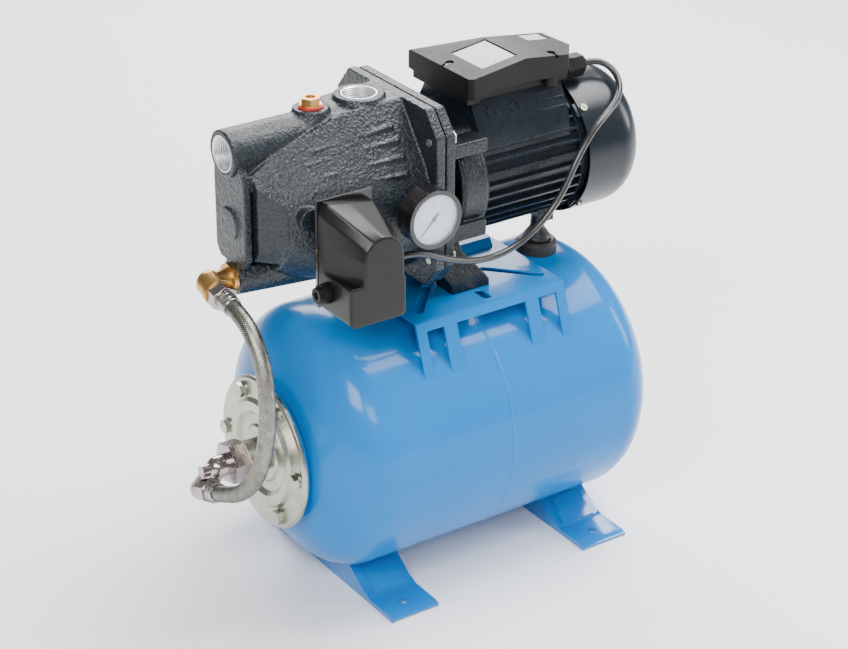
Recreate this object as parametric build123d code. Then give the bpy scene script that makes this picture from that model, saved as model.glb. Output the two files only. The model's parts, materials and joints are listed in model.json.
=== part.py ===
from build123d import *
import math
import os

# Booster set: a self-priming jet pump and its motor on a horizontal pressure tank.
# Frame: millimetres, +Z up, +X towards the motor's fan cover, -Y towards the switch and gauge.
# Origin: the centre of the four foot bolt holes, on the floor.

# ---- driving dimensions -------------------------------------------------------------------
# tank
TANK_RADIUS = 135.0
TANK_AXIS_Z = 152.0
TANK_WALL = 1.5
BARREL_HALF = 139.5
TANK_MID_X = -2.0
DOME_DEPTH = 67.0
SEAM_X = -5.0
NECK_RADIUS = 50.0
RING_RADIUS = 74.0
RING_THICK = 3.0
RING_FRONT_X = -206.0
FLANGE_RADIUS = 78.0
FLANGE_THICK = 2.5
COLLAR_THICK = 3.5
FLANGE_BOLT_CIRCLE = 65.0
FLANGE_BOLT_COUNT = 6
M8_RADIUS = 4.0
M8_FLATS = 13.0
M8_HEAD = 5.3
BOLT_CLEARANCE = 0.4
MEMBRANE_WALL = 2.0
MEMBRANE_RADIUS = 108.0
MEMBRANE_LENGTH = 290.0
PIPE_RADIUS = 16.6
PIPE_BORE = 13.0
PIPE_END_X = -246.0
VALVE_RADIUS = 4.0
VALVE_LENGTH = 14.0
CAP_LENGTH = 11.0

# feet
FOOT_X = 118.0
FOOT_HOLE_Y = 109.0
FOOT_WIDTH = 55.0
FOOT_HALF_SPAN = 130.0
FOOT_HOLE_RADIUS = 4.5
SHEET = 2.0
FOOT_TONGUE_TOP = 5.0
FOOT_CROWN = 26.0
SIDE_FLANGE = 2.5

# pump bracket on the tank
PLATE_Z = 292.6
PLATE_HALF_X = 88.0
PLATE_HALF_Y = 84.0
SKIRT_Y = 100.0
WINDOW_TOP_Z = 283.0
SLOT_WIDTH = 9.0
RIB_HEIGHT = 8.4
RIB_X0 = 30.0

# pump and motor axis
AXIS_Z = 403.2
CASING_RADIUS = 78.0
CASING_WALL = 7.0
CASING_FACE_X = -56.0
CASING_FLANGE_THICK = 10.0
GASKET_THICK = 2.0
BRACKET_FLANGE_THICK = 10.0
FLANGE_HALF = 85.0
FLANGE_TOP = 97.0
FLANGE_BOTTOM = 83.0
FLANGE_CHAMFER_Y = 19.0
FLANGE_CHAMFER_Z = 23.0
CASING_BOLT_Y = 72.0
CASING_BOLT_UP = 66.0
CASING_BOLT_DOWN = 54.0
CASING_RIBS = [
    ((-170.2, 469.0), (-85.7, 479.9)),
    ((-179.1, 460.0), (-83.9, 468.7)),
    ((-167.6, 450.2), (-84.9, 455.3)),
    ((-181.7, 438.9), (-87.3, 441.8)),
]
HOOD_SECTIONS = [
    (-207.0, 56.0, 408.0, 24.0, 471.0),
    (-180.0, 66.0, 405.0, 24.0, 479.8),
    (-150.0, 73.0, 403.2, 24.0, 489.5),
    (-127.0, 76.0, 403.2, 24.0, 497.0),
    (-66.0, 79.0, 403.2, 26.0, 499.5),
]
NOSE_X = -238.0
NOSE_HALF_Y = 27.5
NOSE_LOW_Z = 364.0
NOSE_TOP_Z = 490.0
PORT_Z = 474.4
PORT_TUBE_RADIUS = 22.5
PORT_X = -244.0
PORT_BORE = 15.15
PASSAGE_BORE = 16.0
INSERT_RADIUS = 17.5
INSERT_LENGTH = 18.0
OUTLET_X = -96.0
OUTLET_TOP_Z = 502.5
OUTLET_BOSS_RADIUS = 24.0
PRIMING_X = -149.0
PRIMING_TOP_Z = 500.0
PRIMING_RADIUS = 8.0
CHANNEL_Z = 349.0
CHANNEL_RADIUS = 17.0
CHANNEL_BORE = 8.5
WASHER_THICK = 1.6
RUNNING_FIT = 0.05
NOZZLE_RADIUS = 11.0
SUCTION_END_X = -206.0
VALVE_CAGE_X = -218.0
CAGE_WIDTH = 5.0
POPPET_STEM = 1.8
POPPET_THICK = 2.5
SWITCH_PORT_X = -166.0
SEAL_FACE_X = -57.0
SEAL_SEAT_RADIUS = 14.0
FOOT_TOE_X = 21.0
FOOT_BOLT_X = 11.0
FOOT_BOLTS_Y = (-38.0, 38.0)

# rotating parts
SHAFT_RADIUS = 7.5
SHAFT_TIP_RADIUS = 6.0
SHAFT_TIP_X = -84.0
SHAFT_END_X = 182.0
IMPELLER_RADIUS = 55.0
IMPELLER_BACK_X = -64.0
IMPELLER_WIDTH = 15.0
EYE_RADIUS = 17.0
VANE_COUNT = 6
BEARING_RADIUS = 17.5
BEARING_WIDTH = 11.0
FRONT_BEARING_X = -6.0
REAR_BEARING_X = 124.0
STATOR_BORE = 29.2
AIR_GAP = 0.5
STATOR_RADIUS = 56.0
STATOR_X0 = 30.0
STATOR_X1 = 90.0

# motor housing
FRAME_X0 = 5.0
FRAME_X1 = 121.0
FIN_ROOT = 60.0
FIN_TIP = 66.0
FIN_WIDTH = 2.6
FIN_COUNT = 34
COVER_RADIUS = 71.7
COVER_WALL = 1.6
COVER_X0 = 126.0
COVER_X1 = 199.6
COVER_ROUND = 30.0
COVER_SCREW_X = 131.0
COVER_SCREW_SEAT = 71.5
FAN_X0 = 148.0
FAN_WIDTH = 26.0
FAN_RADIUS = 60.0
FAN_BLADES = 7
POST_X = 117.0
PAD_RADIUS = 21.0
PAD_TOP_Z = 299.0

# terminal box
BOX_X0 = -6.0
BOX_X1 = 126.0
BOX_HALF_Y = 54.0
BOX_RIDGE_X = 58.0
BOX_LEFT_TOP = 511.9
BOX_RIDGE_TOP = 521.2
BOX_RIGHT_TOP = 512.6
BOX_HIP = (-6.0, 53.5)
BOX_PEAK = (58.0, 17.0)
BOX_BACK_Y = 21.0
BOX_BACK_FALL = 0.5
BOX_SKIRT = [(-8.0, 492.2), (26.0, 496.2), (62.0, 497.6), (98.0, 496.0), (132.0, 492.4)]
BOX_SHELL = 2.5
BASE_HALF_Y = 40.0
PANEL_TOP_Z = 484.0
GLAND_Y = -20.0
GLAND_Z = 486.5
GLAND_END_X = 154.0
GLAND_BORE = 7.2
SCREW_SEAT_Z = 509.0
BOX_SCREWS = [(3.2, -5.0), (95.0, -43.5)]
CABLE_RADIUS = 3.25

# pressure switch
SWITCH_X0 = -196.0
SWITCH_X1 = -136.0
SWITCH_Y_BACK = -84.0
SWITCH_Y_FRONT = -140.0
SWITCH_Z0 = 340.0
SWITCH_HOOD_Y = -94.0
SWITCH_Z1 = 446.0
SWITCH_SHELL = 2.5
SWITCH_SHOULDER_Z = 380.0
ARCH_X = -159.5
ARCH_Z = 402.0
ARCH_RADIUS = 21.6
SWITCH_CABLE_Z = 378.0
SWITCH_CABLE_Y = -100.0
SWITCH_GLAND_RADIUS = 8.0
SUPPLY_BORE = 3.6
MAINS_GLAND_Z = 362.0
LEVER_PIVOT_Y = -89.5
LEVER_PIVOT_Z = 366.0
LEVER_PIN = 1.5
LEVER_HALF = 8.0
LEVER_TOP_Z = 416.0

# gauge
GAUGE_X = -87.5
GAUGE_Z = 413.0
GAUGE_RADIUS = 28.0
DIAL_RADIUS = 24.5
GAUGE_FACE_Y = -116.0
GAUGE_DEPTH = 23.0
POINTER_ZERO = -135.0

# fittings on the pump's lower port and on the tank, and the hose between them
BRASS_X = -262.0
TANK_ELBOW_X = -262.0
BRASS_DIP = 10.0
TANK_OUTLET_RISE = 20.0
TANK_OUTLET_X = -274.0
TANK_OUTLET_Y = 12.0
TANK_OUTLET_DROP = 26.5
HOSE_RADIUS = 8.2
BRASS_REACH = 17.0
TANK_REACH = 11.0
NUT_LENGTH = 12.0
FERRULE_LENGTH = 14.0
FERRULE_RADIUS = 9.6
BRASS_NUT_FLATS = 24.0
TANK_NUT_FLATS = 22.0
TANK_FITTING_RADIUS = 11.0


# ---- helpers ------------------------------------------------------------------------------
def rod(radius, start, end):
    """Round bar between two points."""
    first, last = Vector(*start), Vector(*end)
    return extrude(Plane(origin=first, z_dir=last - first) * Circle(radius), (last - first).length)


def hexagon(flats, start, end, turn=0):
    """Six-sided bar between two points, by its size across flats."""
    first, last = Vector(*start), Vector(*end)
    outline = Rot(0, 0, turn) * RegularPolygon(flats / 2, 6, major_radius=False)
    return extrude(Plane(origin=first, z_dir=last - first) * outline, (last - first).length)


def block(x0, x1, y0, y1, z0, z1):
    """Box from its six limits."""
    return Pos((x0 + x1) / 2, (y0 + y1) / 2, (z0 + z1) / 2) * Box(x1 - x0, y1 - y0, z1 - z0)


def turned(points, centre_y=0.0, centre_z=0.0):
    """Solid turned about an axis along X from (x, radius) pairs."""
    face = make_face(Polyline(*[(x, r) for x, r in points], close=True))
    return Pos(0, centre_y, centre_z) * revolve(face, Axis.X)


def turned_up(points, centre_x=0.0, centre_y=0.0):
    """Solid turned about an upright axis from (radius, z) pairs."""
    face = make_face(Polyline(*[(r, 0, z) for r, z in points], close=True))
    return Pos(centre_x, centre_y, 0) * revolve(face, Axis.Z)


def prism_y(points, y0, y1):
    """Outline of (x, z) points drawn out along Y."""
    face = make_face(Polyline(*[(x, y0, z) for x, z in points], close=True))
    return extrude(face, y1 - y0, dir=(0, 1, 0))


def prism_x(points, x0, x1):
    """Outline of (y, z) points drawn out along X."""
    face = make_face(Polyline(*[(x0, y, z) for y, z in points], close=True))
    return extrude(face, x1 - x0, dir=(1, 0, 0))


def prism_z(points, z0, z1):
    """Outline of (x, y) points drawn out along Z."""
    face = make_face(Polyline(*[(x, y, z0) for x, y in points], close=True))
    return extrude(face, z1 - z0, dir=(0, 0, 1))


def along(start, direction, distance):
    """Point at a distance from a start along a unit direction."""
    return tuple(s + d * distance for s, d in zip(start, direction))


def write(name, shape):
    export_step(shape, f"parts/{name}.step")
    return shape


# ---- places worked out from the driving dimensions ---------------------------------------
BARREL_X0 = TANK_MID_X - BARREL_HALF
BARREL_X1 = TANK_MID_X + BARREL_HALF
RING_BACK_X = RING_FRONT_X + RING_THICK
FLANGE_BACK_X = RING_FRONT_X - COLLAR_THICK
FLANGE_FRONT_X = FLANGE_BACK_X - FLANGE_THICK
TANK_CROWN_Z = TANK_AXIS_Z + TANK_RADIUS
BRACKET_FACE_X = CASING_FACE_X + GASKET_THICK
BRACKET_BACK_X = BRACKET_FACE_X + BRACKET_FLANGE_THICK
LANTERN_RING_X = -21.0
LANTERN_RADIUS = 68.0
LANTERN_WALL = 8.0
ROTOR_RADIUS = STATOR_BORE - AIR_GAP
IMPELLER_FRONT_X = IMPELLER_BACK_X - IMPELLER_WIDTH
DIAL_Y = GAUGE_FACE_Y + 4.0
BRASS_DIR = (0.0, -math.cos(math.radians(BRASS_DIP)), -math.sin(math.radians(BRASS_DIP)))
BRASS_CENTRE = (BRASS_X, 0.0, CHANNEL_Z)
TANK_DIR = (0.0, -math.cos(math.radians(TANK_OUTLET_RISE)), math.sin(math.radians(TANK_OUTLET_RISE)))
TANK_ELBOW_CENTRE = (TANK_ELBOW_X, 0.0, TANK_AXIS_Z)
TANK_OUTLET_CENTRE = (TANK_OUTLET_X, TANK_OUTLET_Y, TANK_AXIS_Z - TANK_OUTLET_DROP)


# ---- tank ---------------------------------------------------------------------------------
def dome_solid(radius, depth, barrel_end, seam, side):
    """Barrel from the seam to its end, closed by half an ellipse; side is +1 or -1."""
    middle = (barrel_end, 0)
    start = 0 if side > 0 else 90
    arc = EllipticalCenterArc(middle, depth, radius, start_angle=start, arc_size=90)
    outline = [
        Line((seam, 0), (seam, radius)),
        Line((seam, radius), (barrel_end, radius)),
        arc,
        Line((barrel_end + side * depth, 0), (seam, 0)),
    ]
    return Pos(0, 0, TANK_AXIS_Z) * revolve(make_face(outline), Axis.X)


def tank_half(barrel_end, side):
    outer = dome_solid(TANK_RADIUS, DOME_DEPTH, barrel_end, SEAM_X, side)
    inner = dome_solid(TANK_RADIUS - TANK_WALL, DOME_DEPTH - TANK_WALL, barrel_end, SEAM_X, side)
    return outer - inner


def bolt_places(count, circle):
    return [
        (circle * math.cos(2 * math.pi * i / count), TANK_AXIS_Z + circle * math.sin(2 * math.pi * i / count))
        for i in range(count)
    ]


def tank_shell_inlet():
    """Inlet half with its welded bolting ring; the ring stands clear of the dome outside the neck."""
    shell = tank_half(BARREL_X0, -1)
    shell -= rod(NECK_RADIUS, (RING_FRONT_X - 10, 0, TANK_AXIS_Z), (BARREL_X0, 0, TANK_AXIS_Z))
    ring = turned(
        [
            (RING_FRONT_X, NECK_RADIUS),
            (RING_FRONT_X, RING_RADIUS),
            (RING_BACK_X, RING_RADIUS),
            (RING_BACK_X, NECK_RADIUS + 6),
            (RING_BACK_X + 3, NECK_RADIUS + 2),
            (RING_BACK_X + 3, NECK_RADIUS),
        ],
        0,
        TANK_AXIS_Z,
    )
    holes = [
        rod(M8_RADIUS, (RING_FRONT_X - 1, y, z), (RING_BACK_X + 0.01, y, z))
        for y, z in bolt_places(FLANGE_BOLT_COUNT, FLANGE_BOLT_CIRCLE)
    ]
    return (shell + ring) - holes


def tank_shell_air():
    """Air half; a small threaded hole in its dome takes the air valve."""
    shell = tank_half(BARREL_X1, 1)
    tip = BARREL_X1 + DOME_DEPTH
    return shell - rod(VALVE_RADIUS, (tip - 10, 0, TANK_AXIS_Z), (tip + 10, 0, TANK_AXIS_Z))


def tank_membrane():
    """Rubber bag: collar under the flange, neck through the opening, long body in the tank."""
    neck = NECK_RADIUS - 1.0
    tail = RING_FRONT_X + MEMBRANE_LENGTH
    collar_back = RING_FRONT_X
    outer = [
        (FLANGE_BACK_X, 0),
        (FLANGE_BACK_X, 58),
        (collar_back, 58),
        (collar_back, neck),
        (collar_back + 12, neck),
        (collar_back + 60, MEMBRANE_RADIUS),
        (tail - 60, MEMBRANE_RADIUS),
        (tail - 20, MEMBRANE_RADIUS * 0.7),
        (tail, 20),
        (tail, 0),
    ]
    inner = [
        (FLANGE_BACK_X - 1, 0),
        (FLANGE_BACK_X - 1, neck - MEMBRANE_WALL),
        (collar_back + 12, neck - MEMBRANE_WALL),
        (collar_back + 60, MEMBRANE_RADIUS - MEMBRANE_WALL),
        (tail - 60, MEMBRANE_RADIUS - MEMBRANE_WALL),
        (tail - 21, MEMBRANE_RADIUS * 0.7 - MEMBRANE_WALL),
        (tail - MEMBRANE_WALL, 18),
        (tail - MEMBRANE_WALL, 0),
    ]
    return turned(outer, 0, TANK_AXIS_Z) - turned(inner, 0, TANK_AXIS_Z)


def tank_flange():
    """Pressed and plated flange with a rolled rim, a raised ring and its welded threaded pipe."""
    t = FLANGE_THICK
    front = [
        (FLANGE_BACK_X + 2.5, FLANGE_RADIUS),
        (FLANGE_BACK_X - 0.5, FLANGE_RADIUS),
        (FLANGE_FRONT_X, FLANGE_RADIUS - 2.5),
        (FLANGE_FRONT_X, 56.5),
        (FLANGE_FRONT_X - 3.5, 53),
        (FLANGE_FRONT_X - 3.5, 44),
        (FLANGE_FRONT_X + 0.5, 39),
        (FLANGE_FRONT_X + 0.5, 30),
        (FLANGE_FRONT_X - 2.0, 27),
        (FLANGE_FRONT_X - 2.0, PIPE_BORE),
    ]
    back = [
        (FLANGE_FRONT_X - 2.0 + t, PIPE_BORE),
        (FLANGE_FRONT_X - 2.0 + t, 28),
        (FLANGE_BACK_X, 31),
        (FLANGE_BACK_X, 40),
        (FLANGE_FRONT_X - 3.5 + t, 45),
        (FLANGE_FRONT_X - 3.5 + t, 52.5),
        (FLANGE_BACK_X, 56),
        (FLANGE_BACK_X, RING_RADIUS + 1.0),
        (FLANGE_BACK_X + 2.5, RING_RADIUS + 1.5),
    ]
    dish = turned(front + back, 0, TANK_AXIS_Z)
    pipe = rod(PIPE_RADIUS, (PIPE_END_X, 0, TANK_AXIS_Z), (FLANGE_FRONT_X, 0, TANK_AXIS_Z))
    bore = rod(PIPE_BORE, (PIPE_END_X - 1, 0, TANK_AXIS_Z), (FLANGE_BACK_X + 5, 0, TANK_AXIS_Z))
    holes = [
        rod(M8_RADIUS + BOLT_CLEARANCE, (FLANGE_FRONT_X - 1, y, z), (FLANGE_BACK_X + 1, y, z))
        for y, z in bolt_places(FLANGE_BOLT_COUNT, FLANGE_BOLT_CIRCLE)
    ]
    return (dish + pipe) - bore - holes


def flange_bolts():
    """Six hex bolts, each with its washer face, screwed into the bolting ring."""
    bolts = []
    for y, z in bolt_places(FLANGE_BOLT_COUNT, FLANGE_BOLT_CIRCLE):
        washer = rod(M8_FLATS / 2 + 1.6, (FLANGE_FRONT_X - 1.2, y, z), (FLANGE_FRONT_X, y, z))
        head = hexagon(M8_FLATS, (FLANGE_FRONT_X - 1.2 - M8_HEAD, y, z), (FLANGE_FRONT_X - 1.2, y, z), y)
        shank = rod(M8_RADIUS, (FLANGE_FRONT_X - 1.2, y, z), (RING_BACK_X, y, z))
        bolts.append(washer + head + shank)
    return Compound(bolts)


def tank_circle(radius, margin):
    """Long round bar on the tank's axis, used to fit things to the tank."""
    return rod(radius, (BARREL_X0 - margin, 0, TANK_AXIS_Z), (BARREL_X1 + margin, 0, TANK_AXIS_Z))


def tank_foot(centre_x):
    """Pressed foot: flat tongues with a bolt hole, a raised step and a saddle under the tank."""
    half = FOOT_WIDTH / 2
    span = FOOT_HALF_SPAN
    top = [
        (-span, 0),
        (-span, FOOT_TONGUE_TOP - 2),
        (-span + 6, FOOT_TONGUE_TOP),
        (-90, FOOT_TONGUE_TOP),
        (-78, FOOT_TONGUE_TOP + 4),
        (-52, FOOT_CROWN),
        (52, FOOT_CROWN),
        (78, FOOT_TONGUE_TOP + 4),
        (90, FOOT_TONGUE_TOP),
        (span - 6, FOOT_TONGUE_TOP),
        (span, FOOT_TONGUE_TOP - 2),
        (span, 0),
    ]
    hollow = [
        (-span - 1, -1),
        (-span - 1, FOOT_TONGUE_TOP - 2 - SHEET),
        (-span + 6, FOOT_TONGUE_TOP - SHEET),
        (-90, FOOT_TONGUE_TOP - SHEET),
        (-78, FOOT_TONGUE_TOP + 4 - SHEET),
        (-52, FOOT_CROWN - SHEET),
        (52, FOOT_CROWN - SHEET),
        (78, FOOT_TONGUE_TOP + 4 - SHEET),
        (90, FOOT_TONGUE_TOP - SHEET),
        (span - 6, FOOT_TONGUE_TOP - SHEET),
        (span + 1, FOOT_TONGUE_TOP - 2 - SHEET),
        (span + 1, -1),
    ]
    foot = prism_x(top, -half, half) - prism_x(hollow, -half + SIDE_FLANGE, half - SIDE_FLANGE)
    for side in (-1, 1):
        for inset, drop in ((8.0, 0.0), (11.0, 1.5)):
            foot += foot_emboss(side, half - inset, drop)
        collar = rod(FOOT_HOLE_RADIUS + 2.5, (0, side * FOOT_HOLE_Y, 0), (0, side * FOOT_HOLE_Y, FOOT_TONGUE_TOP - 1))
        foot += collar
        foot -= Pos(0, side * FOOT_HOLE_Y, 0) * Cylinder(FOOT_HOLE_RADIUS, 40)
    foot = Pos(centre_x, 0, 0) * foot
    return foot - tank_circle(TANK_RADIUS, 100)


def foot_emboss(side, half, drop):
    """Raised flat on the slope of a foot, a tapering sheet that follows the slope."""
    low_y, high_y = 86.0 - drop, 57.0 + drop
    low_z, high_z = FOOT_TONGUE_TOP + 1.3, FOOT_CROWN - 4.4
    lift = 1.4 + drop * 0.4
    outline = [
        (side * low_y, low_z - 1.0),
        (side * low_y, low_z + lift),
        (side * high_y, high_z + lift),
        (side * high_y, high_z - 1.0),
    ]
    return prism_x(outline, -half, half)


def air_valve():
    """Valve stem screwed into the dome, with its hex and a bore for the core."""
    tip = BARREL_X1 + DOME_DEPTH
    stem = rod(VALVE_RADIUS, (tip - 6, 0, TANK_AXIS_Z), (tip + VALVE_LENGTH, 0, TANK_AXIS_Z))
    base = hexagon(14, (tip, 0, TANK_AXIS_Z), (tip + 4, 0, TANK_AXIS_Z))
    core = rod(1.6, (tip + 4, 0, TANK_AXIS_Z), (tip + VALVE_LENGTH + 1, 0, TANK_AXIS_Z))
    return stem + base - core


def air_valve_cap():
    """Screw cap over the valve stem."""
    start = BARREL_X1 + DOME_DEPTH + 4.3
    end = start + CAP_LENGTH
    cap = rod(VALVE_RADIUS + 2, (start, 0, TANK_AXIS_Z), (end, 0, TANK_AXIS_Z))
    return cap - rod(VALVE_RADIUS + RUNNING_FIT, (start - 1, 0, TANK_AXIS_Z), (end - 1.3, 0, TANK_AXIS_Z))


# ---- bracket that carries the pump on the tank ------------------------------------------
def skirt_profile(side):
    """Sheet from the plate's edge down to the tank, as (y, z) points."""
    low_z = TANK_AXIS_Z + math.sqrt((TANK_RADIUS + 0.5) ** 2 - SKIRT_Y**2)
    foot_y = SKIRT_Y + 4
    foot_z = TANK_AXIS_Z + math.sqrt(TANK_RADIUS**2 - foot_y**2) - 1
    return [
        (side * (PLATE_HALF_Y - 4), PLATE_Z),
        (side * PLATE_HALF_Y, PLATE_Z - 1.5),
        (side * (SKIRT_Y + 0.5), low_z),
        (side * foot_y, foot_z),
        (side * (foot_y - 2.5), foot_z),
        (side * (SKIRT_Y - SHEET), low_z),
        (side * (PLATE_HALF_Y - SHEET - 0.5), PLATE_Z - SHEET - 1.5),
        (side * (PLATE_HALF_Y - 4), PLATE_Z - SHEET),
    ]


def plate_slot(x0, y0, x1, y1):
    """Slot with round ends through the bracket's plate, from centre to centre."""
    length = math.hypot(x1 - x0, y1 - y0)
    angle = math.degrees(math.atan2(y1 - y0, x1 - x0))
    outline = SlotCenterToCenter(length, SLOT_WIDTH)
    return Pos((x0 + x1) / 2, (y0 + y1) / 2, PLATE_Z) * Rot(0, 0, angle) * extrude(outline, 10, both=True)


def pump_bracket():
    """Pressed saddle: slotted plate, stiffening rib and two windowed skirts welded to the tank."""
    plate = block(
        -PLATE_HALF_X, PLATE_HALF_X, -PLATE_HALF_Y + 4, PLATE_HALF_Y - 4, PLATE_Z - SHEET, PLATE_Z
    )
    bracket = plate
    for side in (-1, 1):
        bracket += prism_x(skirt_profile(side), -PLATE_HALF_X, PLATE_HALF_X)
    windows = [(-77, -57, 240), (-42, 40, 200), (55, 77, 240)]
    for x0, x1, low_z in windows:
        for side in (-1, 1):
            near, far = sorted((side * (PLATE_HALF_Y - 2), side * (SKIRT_Y + 20)))
            bracket -= block(x0, x1, near, far, low_z, WINDOW_TOP_Z)
    bracket -= tank_circle(TANK_RADIUS, 50)
    for side in (-1, 1):
        bracket -= plate_slot(-34, side * 22, -70, side * 63)
        bracket -= plate_slot(37, side * 20, 76, side * 61)
        bracket -= plate_slot(3, side * 59, 3, side * 72)
    rib = prism_x(
        [(18, PLATE_Z - 0.5), (24, PLATE_Z + RIB_HEIGHT), (44, PLATE_Z + RIB_HEIGHT), (50, PLATE_Z - 0.5)],
        RIB_X0,
        PLATE_HALF_X - 12,
    )
    bracket += rib
    for y in FOOT_BOLTS_Y:
        bracket -= Pos(FOOT_BOLT_X, y, PLATE_Z) * Cylinder(M8_RADIUS + BOLT_CLEARANCE, 20)
    return bracket


# ---- pump casing --------------------------------------------------------------------------
def flange_outline(shrink=0.0):
    """Square pump flange with cut corners, as (y, z) points."""
    y, top, bottom = FLANGE_HALF - shrink, FLANGE_TOP - shrink, FLANGE_BOTTOM - shrink
    cut_y, cut_z = FLANGE_CHAMFER_Y, FLANGE_CHAMFER_Z
    quarter = [(y - cut_y, top), (y, top - cut_z), (y, -bottom + cut_z), (y - cut_y, -bottom)]
    mirrored = [(-py, pz) for py, pz in reversed(quarter)]
    return [(py, AXIS_Z + pz) for py, pz in quarter + mirrored]


def casing_bolt_places():
    return [
        (side * CASING_BOLT_Y, AXIS_Z + level)
        for side in (-1, 1)
        for level in (CASING_BOLT_UP, -CASING_BOLT_DOWN)
    ]


def hood_corner(radius, centre_z, half_y, top_z):
    """Place (y, z) where a straight flank from the top corner meets the round belly."""
    rise = top_z - centre_z
    turn = math.atan2(half_y, rise) + math.acos(radius / math.hypot(half_y, rise))
    return radius * math.sin(turn), centre_z + radius * math.cos(turn)


def hood_section(x, radius, centre_z, half_y, top_z):
    """Pump body outline at one place along X: round belly, straight flanks and a flat top."""
    flank_y, flank_z = hood_corner(radius, centre_z, half_y, top_z)
    top = Line((x, -half_y, top_z), (x, half_y, top_z))
    far = Line((x, half_y, top_z), (x, flank_y, flank_z))
    belly = ThreePointArc((x, flank_y, flank_z), (x, 0, centre_z - radius), (x, -flank_y, flank_z))
    near = Line((x, -flank_y, flank_z), (x, -half_y, top_z))
    return make_face([top, far, belly, near])


def hood_half_width(x, z):
    """Distance of the body's side from the middle plane at one place."""
    for first, last in zip(HOOD_SECTIONS, HOOD_SECTIONS[1:]):
        if x <= last[0]:
            break
    share = (x - first[0]) / (last[0] - first[0])
    _, radius, centre_z, half_y, top_z = [a + (b - a) * share for a, b in zip(first, last)]
    flank_y, flank_z = hood_corner(radius, centre_z, half_y, top_z)
    if z >= flank_z:
        return flank_y + (half_y - flank_y) * (z - flank_z) / (top_z - flank_z)
    return math.sqrt(radius**2 - (z - centre_z) ** 2)


def section_yz(x, points):
    """Flat outline at one place along X from (y, z) points."""
    return make_face(Polyline(*[(x, y, z) for y, z in points], close=True))


def casing_nose():
    """Upright nose plate, the neck behind it and the facets that flare out to the body."""
    plate = [(-20.5, NOSE_LOW_Z), (-NOSE_HALF_Y, NOSE_LOW_Z + 10), (-NOSE_HALF_Y, 452), (-20, 467)]
    plate += [(-y, z) for y, z in reversed(plate)]
    nose = prism_x(plate, NOSE_X, NOSE_X + 7)
    nose += block(NOSE_X + 6, -205, -20, 20, 372, 464)
    nose += block(NOSE_X + 1, -215, -25.5, 25.5, 442, 457)
    start = [(-34, 382), (-34, 447), (-24, 457), (24, 457), (34, 447), (34, 382), (24, 371), (-24, 371)]
    end = [(-54, 395), (-51, 430), (-24, 470.5), (24, 470.5), (51, 430), (54, 395), (39, 368.5), (-39, 368.5)]
    return nose + loft([section_yz(-228, start), section_yz(-206, end)], ruled=True)


def casing_outside():
    flange_x = CASING_FACE_X - CASING_FLANGE_THICK
    body = loft([hood_section(*values) for values in HOOD_SECTIONS], ruled=True)
    flange = prism_x(flange_outline(), flange_x, CASING_FACE_X)
    suction = rod(PORT_TUBE_RADIUS, (PORT_X, 0, PORT_Z), (OUTLET_X - 24, 0, PORT_Z))
    channel = Solid.make_cone(
        CHANNEL_RADIUS, 23.0, abs(NOSE_X + 155.0), Plane(origin=(NOSE_X, 0, CHANNEL_Z), z_dir=(1, 0, 0))
    )
    lower = rod(23.0, (-155, 0, CHANNEL_Z), (flange_x, 0, CHANNEL_Z))
    priming = Pos(PRIMING_X, 0, 0) * Solid.make_cone(24, 17, PRIMING_TOP_Z - 476, Plane(origin=(0, 0, 476)))
    outlet = Pos(OUTLET_X, 0, 0) * Solid.make_cone(
        OUTLET_BOSS_RADIUS + 4, OUTLET_BOSS_RADIUS, OUTLET_TOP_Z - 485, Plane(origin=(0, 0, 485))
    )
    return body + flange + casing_nose() + suction + channel + lower + priming + outlet


def casing_ribs():
    """Four ribs on each side that rise out of the body towards the flange."""
    ribs = []
    for (x0, z0), (x1, z1) in CASING_RIBS:
        low, high = hood_half_width(x0, z0), hood_half_width(x1, z1)
        for side in (-1, 1):
            start = [(side * (low - 12), z0 - 2.4), (side * (low + 0.2), z0 - 2.4),
                     (side * (low + 0.2), z0 + 2.4), (side * (low - 12), z0 + 2.4)]
            end = [(side * (high - 12), z1 - 2.0), (side * (high + 3.0), z1 - 2.0),
                   (side * (high + 3.0), z1 + 2.0), (side * (high - 12), z1 + 2.0)]
            ribs.append(loft([section_yz(x0, start), section_yz(x1, end)], ruled=True))
    return ribs


def casing_inside():
    """Water spaces: main chamber, suction passage with its drop to the jet, and the port bores."""
    inner = CASING_RADIUS - CASING_WALL
    chamber = turned(
        [
            (CASING_FACE_X + 1, 0),
            (CASING_FACE_X + 1, inner),
            (-88, inner),
            (-150, inner - 4),
            (-180, inner - 12),
            (-192, inner - 24),
            (-194, 30),
            (-194, 0),
        ],
        0,
        AXIS_Z,
    )
    suction = rod(PASSAGE_BORE, (PORT_X - 1, 0, PORT_Z), (SUCTION_END_X + 4, 0, PORT_Z))
    drop = rod(11.6, (-213.5, 0, PORT_Z - 10), (-213.5, 0, AXIS_Z))
    jet_seat = rod(NOZZLE_RADIUS, (-216, 0, AXIS_Z), (-190, 0, AXIS_Z))
    outlet = rod(PASSAGE_BORE, (OUTLET_X, 0, OUTLET_TOP_Z + 1), (OUTLET_X, 0, AXIS_Z + 60))
    priming = rod(PRIMING_RADIUS, (PRIMING_X, 0, PRIMING_TOP_Z + 1), (PRIMING_X, 0, AXIS_Z + 50))
    channel = rod(CHANNEL_BORE, (NOSE_X - 1, 0, CHANNEL_Z), (-150, 0, CHANNEL_Z))
    return [chamber, suction, drop, jet_seat, outlet, priming, channel]


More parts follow.
